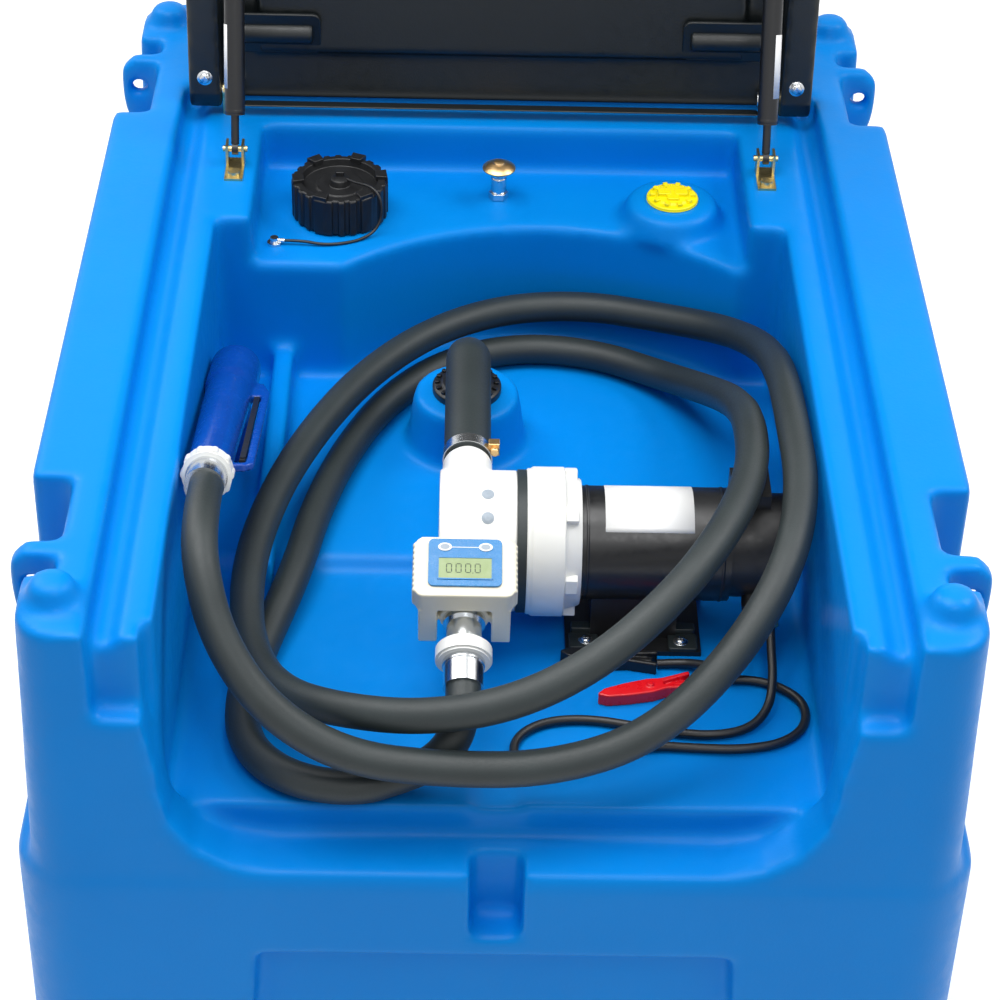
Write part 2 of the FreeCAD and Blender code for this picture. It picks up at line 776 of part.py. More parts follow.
def bosses(body):
    """Raised seats of the fittings, the studs, and the filler's way in."""
    turned(body, "port_boss", "port_x", "port_y", "0", ("0", "floor_rear-wall"),
           ("port_base_radius", "floor_rear-wall"), ("port_base_radius", "floor_rear"),
           ("port_top_radius", "port_height"), ("0", "port_height"))
    turned(body, "level_boss_form", "level_x", "level_y", "deck_height",
           ("0", "-wall/2"), ("level_base_radius", "-wall/2"), ("level_base_radius", "0"),
           ("level_top_radius", "level_boss"), ("0", "level_boss"))
    turned(body, "filler_pad", "filler_x", "filler_y", "deck_height",
           ("0", "-wall/2"), ("cap_radius+6", "-wall/2"), ("cap_radius+6", "0"),
           ("cap_radius+4", "3"), ("0", "3"))
    cut_region(body, "filler_way", "XY_Plane", "deck_height+2*wall", "4*wall",
               lambda k: circle(k, "filler_x", "filler_y", "filler_bore/2"))
    turned(body, "vent_pad", "vent_x", "vent_y", "deck_height",
           ("0", "-wall/2"), ("vent_hex", "-wall/2"), ("vent_hex", "0"),
           ("vent_hex-2", "3"), ("0", "3"))
    for i, (sx, sy) in enumerate(((-1, -1), (1, -1), (1, 1), (-1, 1))):
        x, y = "%d*stud_offset" % sx, "%d*stud_y" % sy
        turned(body, "stud_%d" % i, x, y, "rim_height", ("0", "-wall"),
               ("stud_base/2", "-wall"), ("stud_base/2", "0"),
               ("stud_top/2", "stud_height"), ("0", "stud_height"))


def carried(obj, turn_angle, x, y, z):
    """Lays a shape made about its own origin at a point, turned about X."""
    obj.Placement = FreeCAD.Placement(
        FreeCAD.Vector(value(x), value(y), value(z)),
        FreeCAD.Rotation(FreeCAD.Vector(1, 0, 0), turn_angle))
    return place(obj, x, y, z)


def lid():
    """Moulded lid, drawn closed about the hinge line and then swung open."""
    body = new_body("lid")
    front = "(lid_front_gap-post_half_length-hinge_y)"
    skin = "lid_curl"
    sketch = new_sketch(body, "lid_side", "YZ_Plane", "0-lid_half_width")
    outline(sketch, ("0", skin), (front + "+14", skin), (front + "+3", "10"),
            (front, "-lid_curl*0.6"), (front, "-" + skin), ("0", "-" + skin),
            ("lid_curl*0.7", "-lid_curl*0.7"), ("lid_curl", "0"),
            ("lid_curl*0.7", "lid_curl*0.7"))
    pad(body, sketch, "2*lid_half_width")
    cut_region(body, "lid_well", "XY_Plane", "lid_curl-lid_skin", "2*lid_curl+40",
               lambda k: rectangle(k, "-lid_flange_inner", "lid_flange_inner",
                                   front + "+skirt_thickness", "lid_curl-lid_skin"),
               reverse=False)
    for side in (-1, 1):
        tag = "left" if side < 0 else "right"
        ends = sorted(("%d*lid_flange_inner" % side,
                       "%d*(lid_flange_inner-hinge_width-2*hinge_gap)" % side), key=value)
        cut_region(body, "lid_slot_" + tag, "XY_Plane", "lid_curl-lid_skin-1",
                   "2*lid_curl",
                   lambda k: rectangle(k, ends[0], ends[1], "0", "lid_curl+2"),
                   reverse=False)
    add_region(body, "lid_panel", "XY_Plane", "lid_curl-lid_skin", "lid_panel_drop",
               lambda k: rectangle(k, "-lid_panel_half", "lid_panel_half",
                                   front + "+skirt_thickness+14", "lid_panel_rear"),
               reverse=True)
    sketch = new_sketch(body, "lid_skirt", "XZ_Plane", "-(%s+skirt_thickness)" % front)
    skirt_outline(sketch, "skirt_gap", "hinge_height", "6-lid_curl")
    pad(body, sketch, "skirt_thickness", reverse=False)
    carried(body, -SIZES["lid_open"], "0", "hinge_y", "hinge_height")
    return node(body, "lid")


def strut_line():
    """Foot, lid end and length of a strut when the lid stands open."""
    swing = math.radians(SIZES["lid_open"])
    foot = (value("strut_foot_y"), value("strut_foot_height"))
    along, drop = value("strut_reach"), value("strut_drop")
    tip = (value("hinge_y") - along * math.cos(swing) - drop * math.sin(swing),
           value("hinge_height") + along * math.sin(swing) - drop * math.cos(swing))
    return foot, tip, math.hypot(tip[0] - foot[0], tip[1] - foot[1])


def struts():
    """Gas struts: a tube pinned to the deck and a rod that ends at the lid."""
    foot, tip, length = strut_line()
    lean = math.degrees(math.atan2(foot[0] - tip[0], tip[1] - foot[1]))
    for side, tag in ((-1, "left"), (1, "right")):
        x = "%d*strut_x" % side
        parts = [cylinder("tube_%s" % tag, "strut_tube/2", "strut_tube_end-strut_tube_start",
                          "0", "0", "strut_tube_start"),
                 cylinder("tube_neck_%s" % tag, "strut_rod/2",
                          "strut_tube_start-strut_eye/2+1", "0", "0", "strut_eye/2-1"),
                 cylinder("tube_eye_%s" % tag, "strut_eye/2", "strut_rod-2",
                          "1-strut_rod/2", "0", "0", (1, 0, 0))]
        tube = cut("strut_tube_%s" % tag, fuse("tube_all_%s" % tag, *parts),
                   cylinder("tube_bore_%s" % tag, "strut_rod/2+strut_clear",
                            "strut_tube_end", "0", "0", "strut_tube_start+8"),
                   cylinder("tube_pin_hole_%s" % tag, "strut_pin/2+strut_clear",
                            "2*strut_rod", "-strut_rod", "0", "0", (1, 0, 0)))
        carried(tube, lean, x, "strut_foot_y", "strut_foot_height")
        node(tube, "strut_tube_%s" % tag)
        rod = cylinder("rod_%s" % tag, "strut_rod/2", "%f-strut_tube_end+14" % length,
                       "0", "0", "strut_tube_end-18")
        tongue = cylinder("rod_eye_%s" % tag, "strut_eye/2", "strut_rod-2",
                          "1-strut_rod/2", "0", "%f" % length, (1, 0, 0))
        arm = cut("rod_all_%s" % tag, fuse("rod_form_%s" % tag, rod, tongue),
                  cylinder("rod_pin_hole_%s" % tag, "strut_pin/2+strut_clear",
                           "2*strut_rod", "-strut_rod", "0", "%f" % length, (1, 0, 0)))
        carried(arm, lean, x, "strut_foot_y", "strut_foot_height")
        node(arm, "strut_rod_%s" % tag)
        tank_bracket(x, tag)
        lid_bracket(x, tag)


def tank_bracket(x, tag):
    base = box("foot_base_" + tag, x + "-bracket_width/2", x + "+bracket_width/2",
               "strut_foot_y-bracket_length+8", "strut_foot_y+8",
               "ledge_height", "ledge_height+bracket_sheet")
    ears = [box("foot_ear_%s_%d" % (tag, i), x + a, x + b, "strut_foot_y-8",
                "strut_foot_y+8", "ledge_height", "strut_foot_height+strut_eye/2+1")
            for i, (a, b) in enumerate((("-bracket_width/2", "-bracket_width/2+bracket_sheet"),
                                        ("+bracket_width/2-bracket_sheet", "+bracket_width/2")))]
    pin = cylinder("foot_pin_" + tag, "strut_pin/2", "bracket_width+6",
                   x + "-bracket_width/2-3", "strut_foot_y", "strut_foot_height", (1, 0, 0))
    bolt = cylinder("foot_bolt_" + tag, "6", "4.5", x, "strut_foot_y-bracket_length+17",
                    "ledge_height+bracket_sheet")
    node(fuse("strut_foot_" + tag, base, pin, bolt, *ears), "strut_foot_" + tag)


def lid_bracket(x, tag):
    """Bracket on the lid's inner skin; its pin ends beside the rod's eye."""
    seat = "(lid_curl-lid_skin)"
    reach = "(-strut_reach)"
    side = "-1" if tag == "left" else "1"
    near = "(strut_rod/2+strut_clear)"
    ends = sorted((x + "+%s*%s" % (side, near),
                   x + "+%s*(%s+bracket_sheet)" % (side, near)), key=value)
    base = box("hanger_base_" + tag, x + "-bracket_width/2", x + "+bracket_width/2",
               reach + "-12", reach + "+14", seat + "-bracket_sheet", seat)
    ear = box("hanger_ear_" + tag, ends[0], ends[1], reach + "-8", reach + "+8",
              "-strut_drop-strut_eye/2", seat)
    stud = cylinder("hanger_pin_" + tag, "strut_pin/2", "bracket_sheet+3",
                    ends[0] + ("-3" if tag == "left" else "+0"), reach,
                    "-strut_drop", (1, 0, 0))
    whole = fuse("lid_hanger_" + tag, base, ear, stud)
    carried(whole, -SIZES["lid_open"], "0", "hinge_y", "hinge_height")
    node(whole, "lid_hanger_" + tag)


def hinges():
    """Hinge posts on the ledge and the lid's bolts that turn in them."""
    for side, tag in ((-1, "left"), (1, "right")):
        ends = sorted(("%d*(lid_flange_inner-hinge_gap)" % side,
                       "%d*(lid_flange_inner-hinge_gap-hinge_width)" % side), key=value)
        web = box("hinge_web_" + tag, ends[0], ends[1], "hinge_y-hinge_round+1",
                  "hinge_y+hinge_round-1", "ledge_height", "hinge_height")
        knuckle = cylinder("hinge_round_" + tag, "hinge_round", "hinge_width", ends[0],
                           "hinge_y", "hinge_height", (1, 0, 0))
        bore = cylinder("hinge_bore_" + tag, "hinge_bolt/2+strut_clear", "hinge_width+4",
                        ends[0] + "-2", "hinge_y", "hinge_height", (1, 0, 0))
        node(cut("hinge_post_" + tag, fuse("hinge_form_" + tag, web, knuckle), bore),
             "hinge_post_" + tag)
        length = "hinge_width+2*hinge_gap"
        root = "-lid_flange_inner" if side < 0 else "lid_flange_inner-" + length.replace("+", "-")
        shank = cylinder("hinge_shank_" + tag, "hinge_bolt/2", length, root, "hinge_y",
                         "hinge_height", (1, 0, 0))
        tip = root + ("+" + length if side < 0 else "-4")
        head = cylinder("hinge_head_" + tag, "hinge_bolt", "4", tip, "hinge_y",
                        "hinge_height", (1, 0, 0))
        node(fuse("hinge_bolt_" + tag, shank, head), "hinge_bolt_" + tag)


def fittings():
    """Filler neck and cap, vent, level plug and the screw of the cap's leash."""
    neck = cut("filler_neck", cylinder("neck_out", "filler_neck/2", "filler_height",
                                       "filler_x", "filler_y", "deck_height+3"),
               cylinder("neck_in", "filler_bore/2", "filler_height+2",
                        "filler_x", "filler_y", "deck_height+2"))
    node(neck, "filler_neck")
    skirt = cylinder("cap_out", "cap_radius", "cap_height-12", "filler_x", "filler_y",
                     "deck_height+3.3")
    crown = cone("cap_crown", "cap_radius", "cap_radius-5", "6", "filler_x", "filler_y",
                 "deck_height+cap_height-8.7")
    hollow = cylinder("cap_in", "filler_neck/2+cap_clear", "filler_height",
                      "filler_x", "filler_y", "deck_height+3+cap_clear")
    dish = cylinder("cap_dish", "cap_radius-13", "4", "filler_x", "filler_y",
                    "deck_height+cap_height-6.7")
    knob = cylinder("cap_knob", "6", "9", "filler_x", "filler_y",
                    "deck_height+cap_height-7")
    lug = cylinder("cap_lug", "leash_radius+0.7", "leash_lug", "filler_x", "filler_y",
                   "deck_height+cap_height-1.5", (0.7825, -0.6226, 0))
    flutes = []
    for i in range(12):
        angle = math.radians(30 * i + 15)
        flutes.append(cylinder("flute_%d" % i, "3.2", "cap_height-12",
                               "filler_x+cap_radius*%.6f" % math.cos(angle),
                               "filler_y+cap_radius*%.6f" % math.sin(angle),
                               "deck_height+3"))
    cap = cut("cap_cut", fuse("cap_form", skirt, crown), hollow, dish, *flutes)
    node(fuse("filler_cap", cap, knob, lug), "filler_cap")
    stem = body_prism("vent_stem", "vent_hex/2", "vent_height", "vent_x", "vent_y",
                      "deck_height+3")
    node(stem, "vent_stem")
    brim = cone("vent_brim", "vent_hex/2-2", "vent_cap_radius", "4", "vent_x", "vent_y",
                "deck_height+3+vent_height")
    dome = cone("vent_dome", "vent_cap_radius", "vent_cap_radius-9", "vent_cap_height-4",
                "vent_x", "vent_y", "deck_height+7+vent_height")
    node(fuse("vent_cap", brim, dome), "vent_cap")
    disc = cylinder("plug_disc", "plug_radius", "plug_height*0.6", "level_x", "level_y",
                    "deck_height+level_boss")
    grips = [box("plug_grip_%d" % i, "level_x-(%s)" % a, "level_x+(%s)" % a,
                 "level_y-(%s)" % b, "level_y+(%s)" % b, "deck_height+level_boss",
                 "deck_height+level_boss+plug_height")
             for i, (a, b) in enumerate((("plug_radius-4", "5"), ("5", "plug_radius-4")))]
    node(fuse("level_plug", disc, *grips), "level_plug")
    spot = ("filler_x-screw_across", "filler_y-screw_ahead")
    screw = fuse("leash_screw",
                 cylinder("screw_head", "7", "3", spot[0], spot[1], "deck_height"),
                 cylinder("screw_hub", "4", "8", spot[0], spot[1], "deck_height"),
                 cylinder("screw_lug", "leash_radius+0.7", "leash_lug", spot[0], spot[1],
                          "deck_height+4.5", (1, 0, 0)))
    node(screw, "leash_screw")


def body_prism(name, radius, height, x, y, z):
    obj = doc.addObject("Part::Prism", name)
    obj.Polygon = 6
    bind(obj, Circumradius=radius, Height=height)
    return place(obj, x, y, z)


def pump():
    """Diaphragm pump: head, gasket, flange and motor on one axis, on a foot."""
    side = (1, 0, 0)
    tilt = math.radians(value("meter_tilt"))
    reach = "(meter_length/2-housing_back)"
    head = fuse("pump_head",
                cylinder("head_disc", "head_radius", "head_right-head_left", "head_left",
                         "pump_y", "pump_height", side),
                cylinder("head_inlet", "inlet_radius", "inlet_end-pump_y", "inlet_x",
                         "pump_y", "pump_height+inlet_rise", (0, 1, 0)),
                cylinder("head_shoulder", "inlet_radius+5", "inlet_end-pump_y-21",
                         "inlet_x", "pump_y", "pump_height+inlet_rise", (0, 1, 0)),
                cone("head_inlet_dome", "inlet_radius+5", "inlet_radius+1", "6",
                     "inlet_x", "inlet_end-21", "pump_height+inlet_rise", (0, 1, 0)),
                cylinder("head_outlet", "housing_radius-3", "outlet_stub", "meter_x",
                         "meter_y+%s*cos(meter_tilt)+tube_drop*sin(meter_tilt)" % reach,
                         "meter_height+%s*sin(meter_tilt)-tube_drop*cos(meter_tilt)" % reach,
                         (0, math.cos(tilt), math.sin(tilt))))
    node(head, "pump_head")
    start = "head_right"
    node(cylinder("pump_gasket", "gasket_radius", "gasket_thickness", start, "pump_y",
                  "pump_height", side), "pump_gasket")
    start += "+gasket_thickness"
    collar = fuse("pump_flange",
                  cylinder("flange_disc", "flange_radius", "flange_step", start,
                           "pump_y", "pump_height", side),
                  cone("flange_slope", "motor_radius+7", "motor_radius+2",
                       "flange_thickness-flange_step", start + "+flange_step",
                       "pump_y", "pump_height", side))
    node(collar, "pump_flange")
    start += "+flange_thickness"
    node(cylinder("motor_body", "motor_radius", "motor_length", start, "pump_y",
                  "pump_height", side), "motor_body")
    start += "+motor_length"
    slope = math.radians(value("gland_slope"))
    ahead = (0, -math.cos(slope), -math.sin(slope))
    def gland_part(name, tag, radius, begin, length):
        return cylinder(name + "_" + tag, radius, length, start + "+gland_" + tag,
                        "pump_y-(%s)*cos(gland_slope)" % begin,
                        "pump_height-gland_drop-(%s)*sin(gland_slope)" % begin, ahead)
    drum = [cylinder("cap_drum", "motor_cap_radius", "motor_cap_length", start,
                     "pump_y", "pump_height", side),
            box("terminal_box", start, start + "+box_length", "pump_y-box_front",
                "pump_y+box_rear", "pump_height", "pump_height+box_rise")]
    for tag in ("near", "far"):
        drum.append(gland_part("gland_boss", tag, "gland_radius+2", "0", "gland_reach"))
    node(fuse("motor_cap", *drum), "motor_cap")
    for tag in ("near", "far"):
        node(gland_part("cable_gland", tag, "gland_radius", "gland_reach", "gland_length"),
             "cable_gland_" + tag)
    plate = box("foot_sheet", "foot_left", "foot_right", "foot_front", "foot_rear",
                "floor_front", "floor_front+foot_plate")
    block = box("foot_block", "foot_left+foot_block_inset", "foot_right-foot_block_inset",
                "pump_y-34", "pump_y+34", "floor_front", "pump_height-20")
    saddle = cylinder("foot_saddle", "motor_radius", "foot_right-foot_left", "foot_left",
                      "pump_y", "pump_height", side)
    node(cut("motor_foot", fuse("foot_form", plate, block), saddle), "motor_foot")


def suction():
    """Suction fitting on its boss and the bent hose up to the pump's inlet."""
    node(cylinder("suction_fitting", "fitting_radius", "elbow_start", "port_x", "port_y",
                  "port_height"), "suction_fitting")
    bore, out = value("inlet_radius") + 0.2, value("inlet_radius+hose_wall")
    turn = value("elbow_radius")
    x, y = value("inlet_x"), value("port_y")
    low, high = value("port_height+elbow_start"), value("pump_height+inlet_rise")
    near = value("inlet_end-14")
    a = FreeCAD.Vector(x, y, low)
    b = FreeCAD.Vector(x, y, high - turn)
    c = FreeCAD.Vector(x, y - turn, high)
    d = FreeCAD.Vector(x, near, high)
    lean = turn * (1 - math.cos(math.pi / 4))
    mid = FreeCAD.Vector(x, y - lean, high - lean)
    edges = [Part.Arc(b, mid, c).toShape(), Part.LineSegment(c, d).toShape()]
    if (b - a).Length > 0.01:
        edges.insert(0, Part.LineSegment(a, b).toShape())
    path = Part.Wire(edges)
    solid = None
    for radius in (out, bore):
        ring = Part.Wire([Part.Circle(a, FreeCAD.Vector(0, 0, 1), radius).toShape()])
        tube = path.makePipeShell([ring], True, False)
        solid = tube if solid is None else solid.cut(tube)
    hose = doc.addObject("Part::Feature", "suction_hose")
    hose.Shape = solid
    node(hose, "suction_hose")
    band = cut("hose_clamp",
               cylinder("clamp_out", "inlet_radius+hose_wall+clamp_thickness",
                        "clamp_width", "inlet_x", "inlet_end-13",
                        "pump_height+inlet_rise", (0, 1, 0)),
               cylinder("clamp_in", "inlet_radius+hose_wall", "clamp_width+2",
                        "inlet_x", "inlet_end-14", "pump_height+inlet_rise", (0, 1, 0)))
    node(band, "hose_clamp")


def meter():
    """Turbine meter on the pump's outlet, its face tipped toward the front."""
    tilt = value("meter_tilt")
    def tipped(obj, name):
        carried(obj, tilt, "meter_x", "meter_y", "meter_height")
        return node(obj, name)
    front, rear = "-meter_length/2", "meter_length/2"
    case = new_body("meter_case")
    plan = new_sketch(case, "meter_plan", "XY_Plane", "0-case_sink")
    rounded_rectangle(plan, "-meter_width/2", "meter_width/2", front, rear, "case_round")
    pad(case, plan, "case_thickness+case_sink")
    parts = [case, cylinder("meter_housing", "housing_radius",
                            "meter_length-housing_setback-housing_back", "0",
                            rear + "-housing_back", "-tube_drop", (0, -1, 0))]
    rib_count = 9
    for side in (-1, 1):
        legs = sorted(("%d*(meter_width/2-leg_inset)" % side,
                       "%d*(meter_width/2-leg_inset-leg_width)" % side), key=value)
        parts.append(box("meter_leg_%d" % side, legs[0], legs[1], front,
                         front + "+leg_depth", "-leg_length", "0"))
        for i in range(rib_count):
            step = "(meter_length-2*case_round)*%d/%d" % (i, rib_count - 1)
            parts.append(cylinder("meter_rib_%d_%d" % (side, i), "rib_radius",
                                  "case_thickness-1", "%d*meter_width/2" % side,
                                  front + "+case_round+" + step, "0"))
    tipped(fuse("meter_body", *parts), "meter_body")
    face_top = "case_thickness+face_thickness"
    plate = new_body("meter_plate")
    plan = new_sketch(plate, "plate_plan", "XY_Plane", "case_thickness")
    rounded_rectangle(plan, "-face_width/2", "face_width/2", "face_shift-face_length/2",
                      "face_shift+face_length/2", "face_round")
    pad(plate, plan, "face_thickness")
    plan = new_sketch(plate, "screen_plan", "XY_Plane", face_top)
    rectangle(plan, "-screen_width/2", "screen_width/2", "face_shift-face_length/2+6",
              "face_shift-face_length/2+6+screen_length")
    pad(plate, plan, "face_relief")
    buttons = [cylinder("meter_button_%d" % side, "button_radius", "2*face_relief",
                        "%d*(screen_width/2-button_radius)" % side,
                        "face_shift+face_length/2-button_radius-3", face_top)
               for side in (-1, 1)]
    tipped(fuse("meter_face", plate, *buttons), "meter_face")
    mouth = front + "+housing_setback"
    tube = cylinder("outlet_form", "outlet_radius", "outlet_length+housing_setback", "0",
                    mouth, "-tube_drop", (0, -1, 0))
    collar = cylinder("outlet_collar", "outlet_radius+3", "housing_setback", "0",
                      mouth, "-tube_drop", (0, -1, 0))
    tipped(fuse("meter_outlet", tube, collar), "meter_outlet")
    nut = front + "-outlet_length"
    ring = cylinder("outlet_nut_form", "nut_radius-2", "nut_length", "0", nut,
                    "-tube_drop", (0, -1, 0))
    lip = cylinder("outlet_nut_lip", "nut_radius", "nut_length-4", "0", nut + "-2",
                   "-tube_drop", (0, -1, 0))
    tipped(fuse("outlet_nut", ring, lip), "outlet_nut")
    end = nut + "-nut_length"
    sleeve = cylinder("outlet_ferrule_form", "ferrule_radius", "ferrule_length", "0",
                      end, "-tube_drop", (0, -1, 0))
    bead = cylinder("outlet_ferrule_bead", "ferrule_radius+1", "ferrule_bead", "0",
                    end, "-tube_drop", (0, -1, 0))
    tipped(fuse("outlet_ferrule", sleeve, bead), "outlet_ferrule")


def nozzle():
    """Delivery nozzle in the left of the bay, its spout standing on the floor."""
    lean = -90 - value("nozzle_slope")
    def laid(obj, name):
        carried(obj, lean, "nozzle_x", "nozzle_tail_y", "nozzle_tail_height")
        return node(obj, name)
    grip = new_body("nozzle_form")
    whole = "grip_length+head_length"
    revolve(grip, "nozzle_profile", "XZ_Plane", "0",
            [("0", "0"), ("nozzle_radius", "0"), ("nozzle_shoulder", "grip_length"),
             ("nozzle_head", "grip_length+head_blend"),
             ("nozzle_head", whole + "-head_blend"),
             ("nozzle_head*0.7", whole + "-head_blend*0.3"),
             ("nozzle_head*0.3", whole), ("0", whole)])
    plan = new_sketch(grip, "guard_plan", "XZ_Plane", "guard_bar/2")
    outline(plan, ("0", "guard_start"), ("guard_reach-guard_bar", "guard_start"),
            ("guard_reach", "guard_start+guard_bar"), ("guard_reach", "grip_length"),
            ("guard_reach-guard_bar", "grip_length+2*head_blend"),
            ("0", "grip_length+3*head_blend"))
    outline(plan, ("nozzle_radius/2", "guard_start+guard_bar"),
            ("guard_reach-guard_bar*1.4", "guard_start+guard_bar"),
            ("guard_reach-guard_bar", "guard_start+guard_bar*1.4"),
            ("guard_reach-guard_bar", "grip_length-head_blend"),
            ("nozzle_radius/2", "grip_length-head_blend"))
    pad(grip, plan, "guard_bar", reverse=True)
    slope = math.radians(value("nozzle_slope"))
    middle = "(grip_length+head_length/2)"
    drop = "(nozzle_tail_height-%s*sin(nozzle_slope)-floor_rear-spout_length)" % middle
    socket = cylinder("nozzle_socket", "spout_radius+4", drop, "0", "0", middle,
                      (0, math.cos(slope), math.sin(slope)))
    laid(fuse("nozzle_body", grip, socket), "nozzle_body")
    node(cylinder("nozzle_spout", "spout_radius", "spout_length", "nozzle_x",
                  "nozzle_tail_y+%s*cos(nozzle_slope)" % middle, "floor_rear"),
         "nozzle_spout")
    bar = box("lever_bar", "guard_reach-guard_bar-lever_width-1.5",
              "guard_reach-guard_bar-1.5", "-lever_width/2", "lever_width/2",
              "guard_start+2*guard_bar", "grip_length-head_blend")
    pin = cylinder("lever_pin", "lever_width/2", "lever_width+2",
                   "guard_reach-guard_bar-lever_width/2-1.5", "-lever_width/2-1",
                   "guard_start+3*guard_bar", (0, 1, 0))
    laid(fuse("nozzle_lever", bar, pin), "nozzle_lever")
    lobes = []
    lobe_count = 10
    for i in range(lobe_count):
        angle = 2 * math.pi * i / lobe_count
        lobes.append(cylinder("nozzle_lobe_%d" % i, "lobe_radius", "nozzle_nut_length-4",
                              "%.6f*(nozzle_nut_radius-lobe_radius)" % math.cos(angle),
                              "%.6f*(nozzle_nut_radius-lobe_radius)" % math.sin(angle),
                              "2-nozzle_nut_length"))
    ring = cylinder("nozzle_nut_form", "nozzle_nut_radius-1.5", "nozzle_nut_length", "0",
                    "0", "-nozzle_nut_length")
    laid(fuse("nozzle_nut", ring, *lobes), "nozzle_nut")
    sleeve = cylinder("nozzle_ferrule_form", "ferrule_radius", "ferrule_length", "0", "0",
                      "-nozzle_nut_length-ferrule_length")
    bead = cylinder("nozzle_ferrule_bead", "ferrule_radius+1", "ferrule_bead", "0", "0",
                    "-nozzle_nut_length-ferrule_bead")
    laid(fuse("nozzle_ferrule", sleeve, bead), "nozzle_ferrule")


def cord(name, radius, points):
    """Round cord of straight runs joined by tangent arcs through a list of points."""
    spots = [FreeCAD.Vector(*point) for point in points]
    size = value(radius)
    edges, at, tightest = [], spots[0], None
    for before, here, after in zip(spots, spots[1:], spots[2:]):
        come, go = here - before, after - here
        reach = 0.45 * min(come.Length, go.Length)
        half = come.getAngle(go) / 2
        come.normalize()
        go.normalize()
        start, end = here - come * reach, here + go * reach
        edges.append(Part.LineSegment(at, start).toShape())
        at = end
        turn = reach / math.tan(half)
        tightest = turn if tightest is None else min(turn, tightest)
        inward = go - come
        inward.normalize()
        nearest = here + inward * (turn / math.cos(half) - turn)
        edges.append(Part.Arc(start, nearest, end).toShape())
    edges.append(Part.LineSegment(at, spots[-1]).toShape())
    path = Part.Wire(edges)
    ring = Part.Wire([Part.Circle(spots[0], spots[1] - spots[0], size).toShape()])
    obj = doc.addObject("Part::Feature", name)
    obj.Shape = path.makePipeShell([ring], True, False)
    filled = obj.Shape.Volume / (math.pi * size ** 2 * path.Length)
    assert abs(filled - 1) < 0.01, name
    print(name, "length %.0f mm, tightest bend %.0f mm" % (path.Length, tightest))
    return node(obj, name)


def clip(name, rear, heading):
    """Battery clip lying flat: two jaws on a pivot, and the socket of its lead."""
    jaws = new_body(name + "_jaws")
    plan = new_sketch(jaws, name + "_plan", "XY_Plane")
    half = [("0", "1"), ("0.08*clip_length", "0.55*clip_radius"),
            ("0.3*clip_length", "0.8*clip_radius"), ("0.55*clip_length", "0.9*clip_radius"),
            ("0.7*clip_length", "0.7*clip_radius"), ("clip_length", "clip_radius"),
            ("clip_length", "0.6*clip_radius"), ("0.7*clip_length", "0.2*clip_radius")]
    other = [(along, "-(%s)" % across) for along, across in half[::-1]]
    outline(plan, *(half + other))
    pad(jaws, plan, "clip_height")
    pivot = cylinder(name + "_pivot", "pivot_radius", "clip_height+2*pivot_proud",
                     "0.55*clip_length", "0", "0")
    socket = cylinder(name + "_socket", "cable_radius+0.4", "0.35*clip_length",
                      "0.6*clip_length", "0", "cable_rest", (1, 0, 0))
    whole = fuse(name, jaws, pivot, socket)
    turn = math.radians(heading)
    whole.Placement = FreeCAD.Placement(
        FreeCAD.Vector(0, 0, 0), FreeCAD.Rotation(FreeCAD.Vector(0, 0, 1), heading))
    place(whole, "%g-clip_length*%.6f" % (rear[0], math.cos(turn)),
          "%g-clip_length*%.6f" % (rear[1], math.sin(turn)), "floor_front")
    return node(whole, name)


